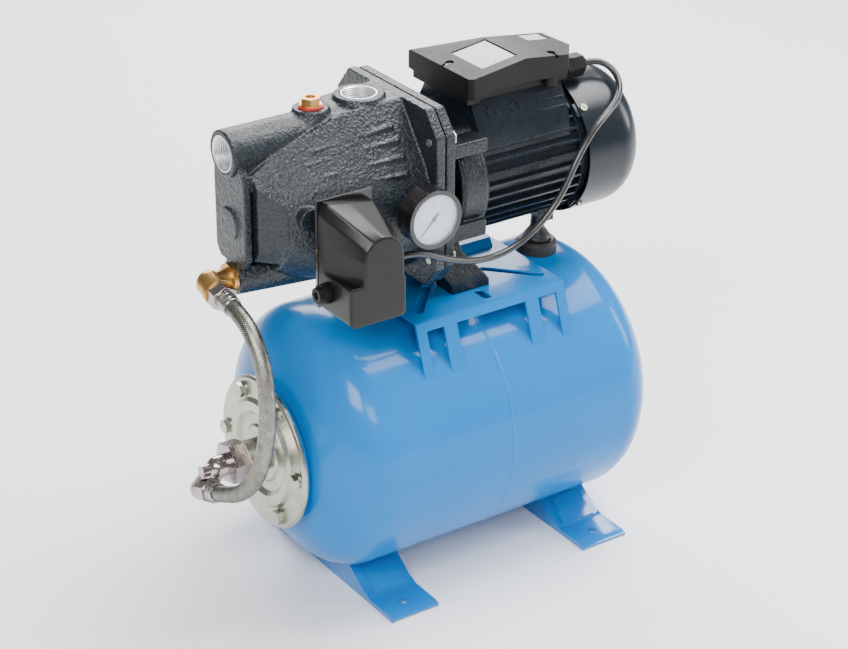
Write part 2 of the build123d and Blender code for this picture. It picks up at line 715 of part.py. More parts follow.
def pump_casing():
    """Cast-iron jet pump casing with its ports, ribs and bosses."""
    casing = casing_outside() + casing_ribs()
    casing += rod(15, (NOSE_X - 2.2, 0, 404), (NOSE_X + 5, 0, 404))
    casing += rod(11.5, (-190, -66, 419), (-190, -40, 419))
    casing += rod(9.0, (GAUGE_X, -CASING_RADIUS - 5, GAUGE_Z), (GAUGE_X, -CASING_RADIUS + 8, GAUGE_Z))
    casing += rod(9.0, (SWITCH_PORT_X, -CASING_RADIUS + 1, AXIS_Z), (SWITCH_PORT_X, -CASING_RADIUS + 20, AXIS_Z))
    casing = casing - casing_inside()
    casing -= rod(5.0, (GAUGE_X, -CASING_RADIUS - 6, GAUGE_Z), (GAUGE_X, -CASING_RADIUS + 12, GAUGE_Z))
    casing -= rod(5.0, (SWITCH_PORT_X, -CASING_RADIUS, AXIS_Z), (SWITCH_PORT_X, -CASING_RADIUS + 24, AXIS_Z))
    casing -= rod(INSERT_RADIUS, (PORT_X - 1, 0, PORT_Z), (PORT_X + INSERT_LENGTH, 0, PORT_Z))
    casing -= rod(INSERT_RADIUS, (OUTLET_X, 0, OUTLET_TOP_Z + 1), (OUTLET_X, 0, OUTLET_TOP_Z - INSERT_LENGTH))
    for y, z in casing_bolt_places():
        casing -= rod(M8_RADIUS, (CASING_FACE_X + 1, y, z), (CASING_FACE_X - CASING_FLANGE_THICK - 1, y, z))
    return casing


def port_inserts():
    """Bright threaded inserts in the suction and outlet ports."""
    suction = rod(INSERT_RADIUS, (PORT_X, 0, PORT_Z), (PORT_X + INSERT_LENGTH, 0, PORT_Z))
    suction -= rod(PORT_BORE, (PORT_X - 1, 0, PORT_Z), (PORT_X + INSERT_LENGTH + 1, 0, PORT_Z))
    low = OUTLET_TOP_Z - INSERT_LENGTH
    outlet = rod(INSERT_RADIUS, (OUTLET_X, 0, low), (OUTLET_X, 0, OUTLET_TOP_Z))
    outlet -= rod(PORT_BORE, (OUTLET_X, 0, low - 1), (OUTLET_X, 0, OUTLET_TOP_Z + 1))
    return Compound([suction, outlet])


def check_valve_cage():
    """Guide of the suction check valve: a rim, a cross of four arms and a hub."""
    x0, x1 = VALVE_CAGE_X, VALVE_CAGE_X + CAGE_WIDTH
    rim = rod(PASSAGE_BORE, (x0, 0, PORT_Z), (x1, 0, PORT_Z))
    rim -= rod(PORT_BORE - 2.5, (x0 - 1, 0, PORT_Z), (x1 + 1, 0, PORT_Z))
    arms = block(x0, x0 + 3, -13, 13, PORT_Z - 1.3, PORT_Z + 1.3)
    arms += block(x0, x0 + 3, -1.3, 1.3, PORT_Z - 13, PORT_Z + 13)
    hub = rod(2 * POPPET_STEM, (x0, 0, PORT_Z), (x1, 0, PORT_Z))
    return rim + arms + hub - rod(POPPET_STEM + RUNNING_FIT, (x0 - 1, 0, PORT_Z), (x1 + 1, 0, PORT_Z))


def check_valve_poppet():
    """Poppet that closes against the cage's rim and slides inwards to open."""
    x0 = VALVE_CAGE_X + CAGE_WIDTH + 0.3
    disc = rod(PORT_BORE - 1.5, (x0, 0, PORT_Z), (x0 + POPPET_THICK, 0, PORT_Z))
    stem = rod(POPPET_STEM, (VALVE_CAGE_X - 5, 0, PORT_Z), (x0 + 1, 0, PORT_Z))
    return disc + stem


def priming_washer():
    ring = rod(12.0, (PRIMING_X, 0, PRIMING_TOP_Z), (PRIMING_X, 0, PRIMING_TOP_Z + WASHER_THICK))
    return ring - rod(PRIMING_RADIUS + 0.4, (PRIMING_X, 0, PRIMING_TOP_Z - 1), (PRIMING_X, 0, PRIMING_TOP_Z + 3))


def priming_plug():
    """Hex plug in the filling hole."""
    seat = PRIMING_TOP_Z + WASHER_THICK
    head = hexagon(17, (PRIMING_X, 0, seat + 1.5), (PRIMING_X, 0, seat + 8))
    collar = rod(10.5, (PRIMING_X, 0, seat), (PRIMING_X, 0, seat + 1.5))
    thread = rod(PRIMING_RADIUS - RUNNING_FIT, (PRIMING_X, 0, seat), (PRIMING_X, 0, seat - 13))
    recess = rod(4.5, (PRIMING_X, 0, seat + 4.5), (PRIMING_X, 0, seat + 9))
    return head + collar + thread - recess


def ejector_nozzle():
    """Jet nozzle pressed into the web between the suction passage and the chamber."""
    x0 = -206.0
    body = turned(
        [(x0, 6.5), (x0, NOZZLE_RADIUS), (x0 + 14, NOZZLE_RADIUS), (x0 + 24, 6.0), (x0 + 24, 3.4), (x0 + 12, 6.5)],
        0,
        AXIS_Z,
    )
    return body


def venturi_tube():
    """Mixing tube and diffuser from the jet to the impeller's eye."""
    start, end = -176.0, IMPELLER_FRONT_X - 18.0
    outer = [(start, 13.0), (start, 15.0), (start + 8, 12.0), (end - 8, 18.5), (end, 18.5)]
    inner = [(end, 15.5), (end - 8, 15.5), (start + 8, 7.5)]
    return turned(outer + inner, 0, AXIS_Z)


def diffuser():
    """Plastic guide shell round the impeller, with return vanes on its front wall."""
    wall_front = IMPELLER_FRONT_X - 7.0
    shell = turned(
        [
            (wall_front, 20.6),
            (wall_front, 64.0),
            (IMPELLER_BACK_X + 2, 64.0),
            (IMPELLER_BACK_X + 2, 60.5),
            (wall_front + 3, 60.5),
            (wall_front + 3, 20.6),
        ],
        0,
        AXIS_Z,
    )
    collar = turned([(wall_front - 11, 18.5), (wall_front - 11, 23.0), (wall_front + 3, 23.0), (wall_front + 3, 20.6),
                     (wall_front, 20.6), (wall_front, 18.5)], 0, AXIS_Z)
    vanes = [
        Pos(0, 0, AXIS_Z) * Rot(60 * i, 0, 0) * block(wall_front - 9, wall_front + 0.5, -1.2, 1.2, 22, 63)
        for i in range(VANE_COUNT)
    ]
    inner = CASING_RADIUS - CASING_WALL
    lugs = []
    for i in range(4):
        lug = block(IMPELLER_BACK_X - 6, IMPELLER_BACK_X + 2, -8, 8, 62, CASING_RADIUS)
        lugs.append(Pos(0, 0, AXIS_Z) * Rot(45 + 90 * i, 0, 0) * lug)
    guide = shell + collar + vanes + lugs
    return guide & rod(inner, (-150, 0, AXIS_Z), (CASING_FACE_X, 0, AXIS_Z))


# ---- rotating parts ---------------------------------------------------------------------
def impeller():
    """Closed impeller: two shrouds, curved vanes, hub and eye ring."""
    back = IMPELLER_BACK_X
    front = IMPELLER_FRONT_X
    body = turned([(back, SHAFT_TIP_RADIUS), (back, 50), (back - 1.5, IMPELLER_RADIUS), (back - 3, IMPELLER_RADIUS),
                   (back - 4, 14), (front + 4, 11), (front + 1, SHAFT_TIP_RADIUS)], 0, AXIS_Z)
    shroud = turned([(front + 2.5, EYE_RADIUS + 2.5), (front + 5, IMPELLER_RADIUS), (front + 2.6, IMPELLER_RADIUS),
                     (front, EYE_RADIUS + 2.5), (front - 6, EYE_RADIUS + 2.5), (front - 6, EYE_RADIUS),
                     (front + 1, EYE_RADIUS)], 0, AXIS_Z)
    vane_path = ThreePointArc((0, 15), (14, 32), (8, 52))
    vane = extrude(trace(vane_path, 2.2), IMPELLER_WIDTH - 7)
    vanes = [
        Pos(front + 4, 0, AXIS_Z) * Rot(360 / VANE_COUNT * i, 0, 0) * Rot(0, 90, 0) * vane
        for i in range(VANE_COUNT)
    ]
    return body + shroud + vanes


def shaft_seal_ring():
    """Rotating face of the shaft seal with its spring cup."""
    ring = rod(12.5, (IMPELLER_BACK_X, 0, AXIS_Z), (SEAL_FACE_X, 0, AXIS_Z))
    return ring - rod(SHAFT_RADIUS, (IMPELLER_BACK_X - 1, 0, AXIS_Z), (SEAL_FACE_X + 1, 0, AXIS_Z))


def shaft_seal_seat():
    """Fixed seal seat in the bracket's bore; flat against the rotating face."""
    seat = rod(SEAL_SEAT_RADIUS, (SEAL_FACE_X, 0, AXIS_Z), (BRACKET_BACK_X - 2, 0, AXIS_Z))
    return seat - rod(SHAFT_RADIUS + 0.5, (SEAL_FACE_X - 1, 0, AXIS_Z), (BRACKET_BACK_X, 0, AXIS_Z))


def motor_shaft():
    """Stepped shaft from the impeller to the fan."""
    core = SHAFT_RADIUS + 1.5
    return turned(
        [
            (SHAFT_TIP_X, 0),
            (SHAFT_TIP_X, SHAFT_TIP_RADIUS),
            (IMPELLER_BACK_X, SHAFT_TIP_RADIUS),
            (IMPELLER_BACK_X, SHAFT_RADIUS),
            (STATOR_X0 - 15, SHAFT_RADIUS),
            (STATOR_X0 - 15, core),
            (STATOR_X1 + 15, core),
            (STATOR_X1 + 15, SHAFT_RADIUS),
            (SHAFT_END_X, SHAFT_RADIUS),
            (SHAFT_END_X, 0),
        ],
        0,
        AXIS_Z,
    )


def rotor_core():
    """Laminated rotor with its end rings."""
    core = SHAFT_RADIUS + 1.5
    stack = rod(ROTOR_RADIUS, (STATOR_X0, 0, AXIS_Z), (STATOR_X1, 0, AXIS_Z))
    for x0, x1 in ((STATOR_X0 - 8, STATOR_X0), (STATOR_X1, STATOR_X1 + 8)):
        stack += rod(ROTOR_RADIUS - 2, (x0, 0, AXIS_Z), (x1, 0, AXIS_Z)) - rod(17, (x0 - 1, 0, AXIS_Z), (x1 + 1, 0, AXIS_Z))
    return stack - rod(core, (STATOR_X0 - 10, 0, AXIS_Z), (STATOR_X1 + 10, 0, AXIS_Z))


def bearing(x0):
    """Ball bearing as one ring: the shaft runs in its bore."""
    x1 = x0 + BEARING_WIDTH
    inner = SHAFT_RADIUS + RUNNING_FIT
    return turned(
        [(x0, inner), (x0, 10.5), (x0 + 0.8, 10.5), (x0 + 0.8, 14.5), (x0, 14.5), (x0, BEARING_RADIUS),
         (x1, BEARING_RADIUS), (x1, 14.5), (x1 - 0.8, 14.5), (x1 - 0.8, 10.5), (x1, 10.5), (x1, inner)],
        0,
        AXIS_Z,
    )


def cooling_fan():
    """Plastic fan on the shaft's end: hub, back disc and straight blades."""
    x0, x1 = FAN_X0, FAN_X0 + FAN_WIDTH
    fan = rod(13, (x0, 0, AXIS_Z), (x1, 0, AXIS_Z)) + rod(FAN_RADIUS - 8, (x0, 0, AXIS_Z), (x0 + 2.5, 0, AXIS_Z))
    for i in range(FAN_BLADES):
        blade = block(x0, x1, -1.2, 1.2, 10, FAN_RADIUS)
        fan += Pos(0, 0, AXIS_Z) * Rot(360 / FAN_BLADES * i, 0, 0) * blade
    return fan - rod(SHAFT_RADIUS, (x0 - 1, 0, AXIS_Z), (x1 + 1, 0, AXIS_Z))


# ---- motor bracket between pump and motor -------------------------------------------------
def motor_bracket():
    """Cast lantern: cut-corner flange, windowed barrel, bearing wall and the set's only foot."""
    face, back = BRACKET_FACE_X, BRACKET_BACK_X
    body = prism_x(flange_outline(1.0), face, back)
    barrel = rod(LANTERN_RADIUS, (back, 0, AXIS_Z), (LANTERN_RING_X, 0, AXIS_Z))
    barrel -= rod(LANTERN_RADIUS - LANTERN_WALL, (back - 0.01, 0, AXIS_Z), (LANTERN_RING_X + 1, 0, AXIS_Z))
    barrel -= block(back, LANTERN_RING_X - 3, -90, 90, AXIS_Z - 28, AXIS_Z + 42)
    barrel -= block(back, LANTERN_RING_X - 3, -32, 32, AXIS_Z + 30, AXIS_Z + 90)
    ring = rod(70, (LANTERN_RING_X, 0, AXIS_Z), (FRAME_X0, 0, AXIS_Z))
    ring -= rod(62, (LANTERN_RING_X + 7, 0, AXIS_Z), (FRAME_X0 + 1, 0, AXIS_Z))
    hub = rod(24, (LANTERN_RING_X, 0, AXIS_Z), (FRAME_X0, 0, AXIS_Z))
    body = body + barrel + ring + hub + lantern_ears() + lantern_foot()
    body -= rod(SEAL_SEAT_RADIUS, (face - 1, 0, AXIS_Z), (back - 2, 0, AXIS_Z))
    body -= rod(SHAFT_RADIUS + 1.5, (face - 1, 0, AXIS_Z), (FRAME_X0 + 1, 0, AXIS_Z))
    body -= rod(BEARING_RADIUS, (FRONT_BEARING_X, 0, AXIS_Z), (FRAME_X0 + 1, 0, AXIS_Z))
    for y, z in casing_bolt_places():
        body -= rod(M8_RADIUS + BOLT_CLEARANCE, (face - 1, y, z), (back + 1, y, z))
    return body


def lantern_ears():
    """Four thick ears where the lantern's arms meet the motor frame."""
    ears = []
    for side in (-1, 1):
        for low, high in ((AXIS_Z + 42, AXIS_Z + 56), (AXIS_Z - 44, AXIS_Z - 28)):
            ear = block(BRACKET_BACK_X, 2, *sorted((side * 48, side * 72)), low, high)
            ears.append(ear)
    return ears


def lantern_foot():
    """Wedge-shaped foot from the lantern down to the bracket plate, drilled for two bolts."""
    outline = [
        (BRACKET_BACK_X - 8, AXIS_Z - 60),
        (-24, PLATE_Z + 9),
        (-24, PLATE_Z),
        (FOOT_TOE_X, PLATE_Z),
        (FOOT_TOE_X, PLATE_Z + 7),
        (-4, PLATE_Z + 38),
        (-6, AXIS_Z - 60),
    ]
    foot = prism_y(outline, -52, 52)
    shoulder = prism_x(
        [(-54, PLATE_Z - 1), (-54, PLATE_Z + 12), (-34, AXIS_Z - 56), (34, AXIS_Z - 56), (54, PLATE_Z + 12),
         (54, PLATE_Z - 1)], BRACKET_BACK_X - 10, FOOT_TOE_X + 1)
    hollow = prism_x([(-24, PLATE_Z - 1), (-16, PLATE_Z + 26), (16, PLATE_Z + 26), (24, PLATE_Z - 1)], -60, 40)
    foot = (foot & shoulder) - hollow - rod(60, (-60, 0, AXIS_Z), (10, 0, AXIS_Z))
    for y in FOOT_BOLTS_Y:
        foot -= rod(M8_RADIUS + BOLT_CLEARANCE, (FOOT_BOLT_X, y, PLATE_Z - 1), (FOOT_BOLT_X, y, PLATE_Z + 60))
        foot -= rod(9, (FOOT_BOLT_X, y, PLATE_Z + 9), (FOOT_BOLT_X, y, PLATE_Z + 60))
    return foot


def bracket_bolts():
    """Two bolts that hold the foot on the plate, each with a nut under the plate."""
    bolts = []
    for y in FOOT_BOLTS_Y:
        seat = PLATE_Z + 9
        head = hexagon(M8_FLATS, (FOOT_BOLT_X, y, seat), (FOOT_BOLT_X, y, seat + M8_HEAD))
        shank = rod(M8_RADIUS, (FOOT_BOLT_X, y, PLATE_Z - SHEET - 6.5), (FOOT_BOLT_X, y, seat))
        nut = hexagon(M8_FLATS, (FOOT_BOLT_X, y, PLATE_Z - SHEET - 6), (FOOT_BOLT_X, y, PLATE_Z - SHEET))
        bolts.append(head + shank + nut)
    return Compound(bolts)


def casing_bolts():
    """Four hex bolts through the bracket flange into the casing flange."""
    bolts = []
    for y, z in casing_bolt_places():
        head = hexagon(M8_FLATS, (BRACKET_BACK_X, y, z), (BRACKET_BACK_X + M8_HEAD, y, z))
        shank = rod(M8_RADIUS, (CASING_FACE_X - CASING_FLANGE_THICK, y, z), (BRACKET_BACK_X, y, z))
        bolts.append(head + shank)
    return Compound(bolts)


def casing_gasket():
    sheet = prism_x(flange_outline(4.0), CASING_FACE_X, BRACKET_FACE_X)
    sheet -= rod(CASING_RADIUS - CASING_WALL, (CASING_FACE_X - 1, 0, AXIS_Z), (BRACKET_FACE_X + 1, 0, AXIS_Z))
    for y, z in casing_bolt_places():
        sheet -= rod(M8_RADIUS + BOLT_CLEARANCE, (CASING_FACE_X - 1, y, z), (BRACKET_FACE_X + 1, y, z))
    return sheet


# ---- motor --------------------------------------------------------------------------------
def motor_frame():
    """Extruded frame with cooling fins and the flat-sided seat of the terminal box."""
    x0, x1 = FRAME_X0, FRAME_X1
    frame = rod(FIN_ROOT, (x0, 0, AXIS_Z), (x1, 0, AXIS_Z))
    for i in range(FIN_COUNT):
        fin = block(x0, x1, -FIN_WIDTH / 2, FIN_WIDTH / 2, FIN_ROOT - 4, FIN_TIP)
        frame += Pos(0, 0, AXIS_Z) * Rot(360 / FIN_COUNT * (i + 0.5), 0, 0) * fin
    frame += rod(FIN_TIP + 1, (x0, 0, AXIS_Z), (x0 + 3, 0, AXIS_Z))
    frame += prism_x(
        [(-56, 432), (-52, 458), (-37, PANEL_TOP_Z), (37, PANEL_TOP_Z), (52, 458), (56, 432)], x0, x1 - 9
    )
    for side in (-1, 1):
        for boss_x in (26, 53):
            frame += panel_boss(boss_x, side)
        for step in range(3):
            frame += panel_rib(step, side)
    opening = block(30, 86, -22, 22, AXIS_Z + 40, PANEL_TOP_Z + 1)
    return frame - rod(STATOR_RADIUS, (x0 - 1, 0, AXIS_Z), (x1 + 1, 0, AXIS_Z)) - opening


def panel_place(side, share):
    """Point on the sloping side panel, from its lower edge (0) to its upper edge (1)."""
    return side * (52 - 15 * share), 458 + (PANEL_TOP_Z - 458) * share


def panel_boss(x, side):
    """Round raised ring on the side panel."""
    y, z = panel_place(side, 0.5)
    out = Vector(0, side * (PANEL_TOP_Z - 458), 15).normalized()
    plane = Plane(origin=(x, y, z), z_dir=out)
    return plane * extrude(Circle(6) - Circle(4.2), 1.2, both=True)


def panel_rib(step, side):
    """Thin lengthwise rib on the far end of the side panel."""
    y, z = panel_place(side, 0.15 + 0.3 * step)
    out = Vector(0, side * (PANEL_TOP_Z - 458), 15).normalized()
    plane = Plane(origin=(95, y, z), x_dir=(1, 0, 0), z_dir=out)
    return plane * Box(30, 1.6, 3.0)


def stator_core():
    ring = rod(STATOR_RADIUS, (STATOR_X0, 0, AXIS_Z), (STATOR_X1, 0, AXIS_Z))
    ring -= rod(STATOR_BORE, (STATOR_X0 - 1, 0, AXIS_Z), (STATOR_X1 + 1, 0, AXIS_Z))
    return ring


def stator_windings():
    """Bundled end turns at both ends of the stator."""
    ends = []
    for x0, x1 in ((STATOR_X0 - 17, STATOR_X0), (STATOR_X1, STATOR_X1 + 17)):
        bundle = rod(52, (x0, 0, AXIS_Z), (x1, 0, AXIS_Z)) - rod(32, (x0 - 1, 0, AXIS_Z), (x1 + 1, 0, AXIS_Z))
        ends.append(fillet(bundle.edges(), 4))
    return Compound([end.solid() for end in ends])


def rear_end_shield():
    """Rear cover of the motor with the bearing hub and four lugs for the fan cover."""
    x0 = FRAME_X1
    shield = rod(FIN_TIP - 1, (x0, 0, AXIS_Z), (x0 + 7, 0, AXIS_Z))
    shield += rod(24, (x0, 0, AXIS_Z), (REAR_BEARING_X + BEARING_WIDTH, 0, AXIS_Z))
    for i in range(4):
        lug = block(x0 + 1, x0 + 13, -7, 7, 58, COVER_RADIUS)
        shield += Pos(0, 0, AXIS_Z) * Rot(45 + 90 * i, 0, 0) * lug
    shield = shield & rod(COVER_RADIUS - COVER_WALL, (x0, 0, AXIS_Z), (x0 + 30, 0, AXIS_Z))
    shield -= rod(BEARING_RADIUS, (REAR_BEARING_X, 0, AXIS_Z), (REAR_BEARING_X + BEARING_WIDTH + 1, 0, AXIS_Z))
    shield -= rod(SHAFT_RADIUS + 1.5, (x0 - 1, 0, AXIS_Z), (REAR_BEARING_X + 1, 0, AXIS_Z))
    for i in range(4):
        hole = rod(2.0, (x0 + 10, 0, 60), (x0 + 10, 0, COVER_RADIUS + 2))
        shield -= Pos(0, 0, AXIS_Z) * Rot(45 + 90 * i, 0, 0) * hole
    return shield


def cover_profile(radius, x_end, round_radius):
    """Cup outline: straight wall, rounded shoulder, flat back, closed on the axis."""
    centre = (x_end - round_radius, radius - round_radius)
    return make_face(
        [
            Line((COVER_X0, 0), (COVER_X0, radius)),
            Line((COVER_X0, radius), (x_end - round_radius, radius)),
            CenterArc(centre, round_radius, 0, 90),
            Line((x_end, radius - round_radius), (x_end, 0)),
            Line((x_end, 0), (COVER_X0, 0)),
        ]
    )


def fan_cover():
    """Pressed fan cover with a ring grille in its back and screw holes in its rim."""
    outer = revolve(cover_profile(COVER_RADIUS, COVER_X1, COVER_ROUND), Axis.X)
    inner = revolve(cover_profile(COVER_RADIUS - COVER_WALL, COVER_X1 - COVER_WALL, COVER_ROUND - COVER_WALL), Axis.X)
    cover = outer - inner
    for radius in (11, 18, 25, 32):
        ring = Pos(COVER_X1 - 1, 0, 0) * Rot(0, 90, 0) * (Cylinder(radius + 2, 10) - Cylinder(radius - 2, 10))
        for spoke in range(4):
            bar = Pos(COVER_X1 - 1, 0, 0) * Rot(45 * spoke, 0, 0) * Box(20, 4.5, 100)
            ring -= bar
        cover -= ring
    for i in range(4):
        hole = rod(2.0, (COVER_SCREW_X, 0, 60), (COVER_SCREW_X, 0, COVER_RADIUS + 2))
        seat = rod(3.8, (COVER_SCREW_X, 0, COVER_SCREW_SEAT), (COVER_SCREW_X, 0, COVER_RADIUS + 2))
        cover -= Rot(45 + 90 * i, 0, 0) * (hole + seat)
    return Pos(0, 0, AXIS_Z) * cover


def fan_cover_screws():
    """Four pan-head screws through the fan cover's rim into the end shield."""
    screws = []
    x = COVER_SCREW_X
    for i in range(4):
        shank = rod(2.0, (x, 0, 62), (x, 0, COVER_RADIUS))
        head = rod(3.8, (x, 0, COVER_SCREW_SEAT), (x, 0, COVER_RADIUS + 2.2))
        head -= Pos(x, 0, COVER_RADIUS + 2.2) * Box(5, 0.9, 1.6)
        head -= Pos(x, 0, COVER_RADIUS + 2.2) * Box(0.9, 5, 1.6)
        screws.append(Pos(0, 0, AXIS_Z) * Rot(45 + 90 * i, 0, 0) * (shank + head))
    return Compound([screw.solid() for screw in screws])


def motor_foot_post():
    """Cast post under the motor's rear end: clamp saddle, neck and flared base."""
    saddle = block(POST_X - 7, POST_X + 5, -22, 22, 326, 352)
    neck = Pos(POST_X, 0, 0) * turned_up(
        [(0, PAD_TOP_Z), (15, PAD_TOP_Z), (15, PAD_TOP_Z + 3), (7, PAD_TOP_Z + 14), (6, 330), (0, 330)]
    )
    post = saddle + neck
    return post - rod(FIN_TIP + 0.05, (POST_X - 20, 0, AXIS_Z), (POST_X + 20, 0, AXIS_Z))


def motor_foot_pad():
    """Round rubber pad, shaped below to the tank's crown."""
    pad = Pos(POST_X, 0, 0) * turned_up(
        [(0, 276), (PAD_RADIUS, 276), (PAD_RADIUS, PAD_TOP_Z - 3), (PAD_RADIUS - 3, PAD_TOP_Z), (0, PAD_TOP_Z)]
    )
    fit_barrel = dome_solid(TANK_RADIUS, DOME_DEPTH, BARREL_X1, SEAM_X, 1)
    return pad - fit_barrel


# ---- terminal box ---------------------------------------------------------------------------
def box_plan(inset, z0, z1):
    """Box outline seen from above, with cut corners, drawn up between two heights."""
    y = BOX_HALF_Y
    corners = [
        (BOX_X0 + 4, -y), (108, -y), (BOX_X1 + 5, -26), (BOX_X1 + 1, 22), (BOX_X1 - 14, y), (BOX_X0 + 3, y),
        (BOX_X0, y - 3), (BOX_X0, -y + 4),
    ]
    outline = make_face(Polyline(*[(px, py, z0) for px, py in corners], close=True))
    if inset:
        outline = offset(outline, amount=-inset, kind=Kind.INTERSECTION)
    return extrude(outline, z1 - z0, dir=(0, 0, 1))


def roof_cutter(a, b, c):
    """Everything above the plane through three points of the roof."""
    origin = Vector(*a)
    normal = (Vector(*b) - origin).cross(Vector(*c) - origin).normalized()
    if normal.Z < 0:
        normal = -normal
    sheet = Plane(origin=a, z_dir=normal) * Rectangle(600, 600)
    return extrude(sheet, 200, dir=tuple(normal))


def box_under_roof(inset, lower):
    """Box body under its hipped roof, with the roof lowered by the given amount."""
    body = box_plan(inset, 440, 540)
    left, ridge, right = BOX_LEFT_TOP - lower, BOX_RIDGE_TOP - lower, BOX_RIGHT_TOP - lower
    (hip_x, hip_y), (peak_x, peak_y) = BOX_HIP, BOX_PEAK
    fall = 30 * BOX_BACK_FALL
    for points in (
        [(BOX_X0, -60, left), (BOX_X0, 60, left), (BOX_RIDGE_X, 60, ridge)],
        [(BOX_RIDGE_X, -60, ridge), (BOX_RIDGE_X, 60, ridge), (BOX_X1, 60, right)],
        [(hip_x, hip_y, left), (peak_x, peak_y, ridge), (peak_x + 15.3, peak_y + 25.8, ridge - fall)],
        [(peak_x, peak_y, ridge), (BOX_X1, BOX_BACK_Y, right), (BOX_X1, BOX_BACK_Y + 30, right - fall)],
    ):
        body -= roof_cutter(*points)
    return body


def box_skirt_band(above, below):
    """Slab that follows the skirt's arched lower edge."""
    outline = [(x, z + above) for x, z in BOX_SKIRT] + [(x, z - below) for x, z in reversed(BOX_SKIRT)]
    return prism_y(outline, -BOX_HALF_Y - 1, BOX_HALF_Y + 1)


def terminal_box_cover():
    """Moulded cover: hipped roof, notched screw places and a skirt all round."""
    cover = box_under_roof(0, 0) - box_under_roof(BOX_SHELL, BOX_SHELL)
    posts = [rod(5.4, (x, y, 480), (x, y, 530)) for x, y in BOX_SCREWS]
    cover += [post & box_under_roof(0.8, 0.5) for post in posts]
    cover = cover & box_skirt_band(60, 0)
    for x, y in BOX_SCREWS:
        cover -= rod(4.4, (x, y, SCREW_SEAT_Z), (x, y, 530))
        cover -= rod(2.2, (x, y, 480), (x, y, 530))
    return cover - gland_space()


def gland_space():
    """Room for the cable gland in the skirt and the rim."""
    return block(BOX_X1, BOX_X1 + 7, GLAND_Y - 12.5, GLAND_Y + 12.5, 465, 499)


def box_cover_screws():
    screws = []
    for x, y in BOX_SCREWS:
        head = rod(3.6, (x, y, SCREW_SEAT_Z), (x, y, SCREW_SEAT_Z + 2.6))
        head -= Pos(x, y, SCREW_SEAT_Z + 2.6) * Box(5, 0.9, 2)
        head -= Pos(x, y, SCREW_SEAT_Z + 2.6) * Box(0.9, 5, 2)
        shank = rod(2.0, (x, y, 485), (x, y, SCREW_SEAT_Z))
        screws.append(head + shank)
    return Compound([screw.solid() for screw in screws])


def terminal_box_base():
    """Moulded base: rim under the cover, narrower tub on the motor and two screw columns."""
    gap = 0.3
    rim = box_under_roof(BOX_SHELL + gap, BOX_SHELL + 2) & box_skirt_band(6, 2.5)
    rim -= box_plan(BOX_SHELL + gap + 2.5, 440, 540) & box_skirt_band(7, 0)
    under = box_plan(1.0, 440, 540) & box_skirt_band(0.0, 60)
    tub = block(BOX_X0 + 8, BOX_X1 - 4, -BASE_HALF_Y, BASE_HALF_Y, PANEL_TOP_Z, 505) & under
    tub += block(BOX_X0 + 2, BOX_X0 + 16, -46, 46, PANEL_TOP_Z, 500) & under
    base = rim + tub
    floor_z = PANEL_TOP_Z + 2.5
    base -= block(BOX_X0 + 11, BOX_X1 - 7, -BASE_HALF_Y + 2.5, BASE_HALF_Y - 2.5, floor_z, 520)
    base -= block(34, 82, -18, 18, PANEL_TOP_Z - 5, floor_z + 1)
    for x, y in BOX_SCREWS:
        base += rod(7.0, (x, y, PANEL_TOP_Z), (x, y, 494)) & under
        base -= rod(5.7, (x, y, 494), (x, y, 520))
        base -= rod(2.0, (x, y, 484), (x, y, 510))
    boss = block(BOX_X1 - 12, BOX_X1, -60, 20, PANEL_TOP_Z - 14, 492)
    base += rod(14, (BOX_X1 - 12, GLAND_Y, GLAND_Z), (BOX_X1, GLAND_Y, GLAND_Z)) & boss & under
    base -= rod(GLAND_BORE, (BOX_X1 - 13, GLAND_Y, GLAND_Z), (BOX_X1 + 1, GLAND_Y, GLAND_Z))
    base -= gland_space()
    return base - rod(COVER_RADIUS + 0.6, (110, 0, AXIS_Z), (150, 0, AXIS_Z))


def box_gland():
    """Cable gland: body in the box, hex and dome nut, bored for the cable."""
    x0 = BOX_X1
    gland = rod(GLAND_BORE, (x0 - 12, GLAND_Y, GLAND_Z), (x0, GLAND_Y, GLAND_Z))
    gland += hexagon(23, (x0, GLAND_Y, GLAND_Z), (x0 + 7, GLAND_Y, GLAND_Z), 30)
    gland += hexagon(21, (x0 + 8, GLAND_Y, GLAND_Z), (GLAND_END_X - 5, GLAND_Y, GLAND_Z), 30)
    gland += rod(9.5, (x0 + 7, GLAND_Y, GLAND_Z), (GLAND_END_X - 5, GLAND_Y, GLAND_Z))
    gland += Solid.make_cone(9.8, 6.0, 5, Plane(origin=(GLAND_END_X - 5, GLAND_Y, GLAND_Z), z_dir=(1, 0, 0)))
    return gland


def capacitor():
    """Run capacitor lying in the box."""
    return fillet(
        rod(12.5, (16, 8, PANEL_TOP_Z + 15.5), (74, 8, PANEL_TOP_Z + 15.5)).edges(), 1.5
    )


def terminal_block():
    """Screw terminal strip on the box floor."""
    z0 = PANEL_TOP_Z + 2.5
    strip = block(88, 104, -30, 14, z0, z0 + 4)
    for i in range(5):
        y = -27 + 9.0 * i
        strip += block(89, 103, y, y + 6, z0 + 3, z0 + 13) - rod(1.8, (96, y + 3, z0 + 8), (96, y + 3, z0 + 20))
    return strip


# ---- pressure switch -------------------------------------------------------------------------
def switch_ring(y, points):
    """Flat outline at one place along Y from (x, z) points."""
    return make_face(Polyline(*[(x, y, z) for x, z in points], close=True))


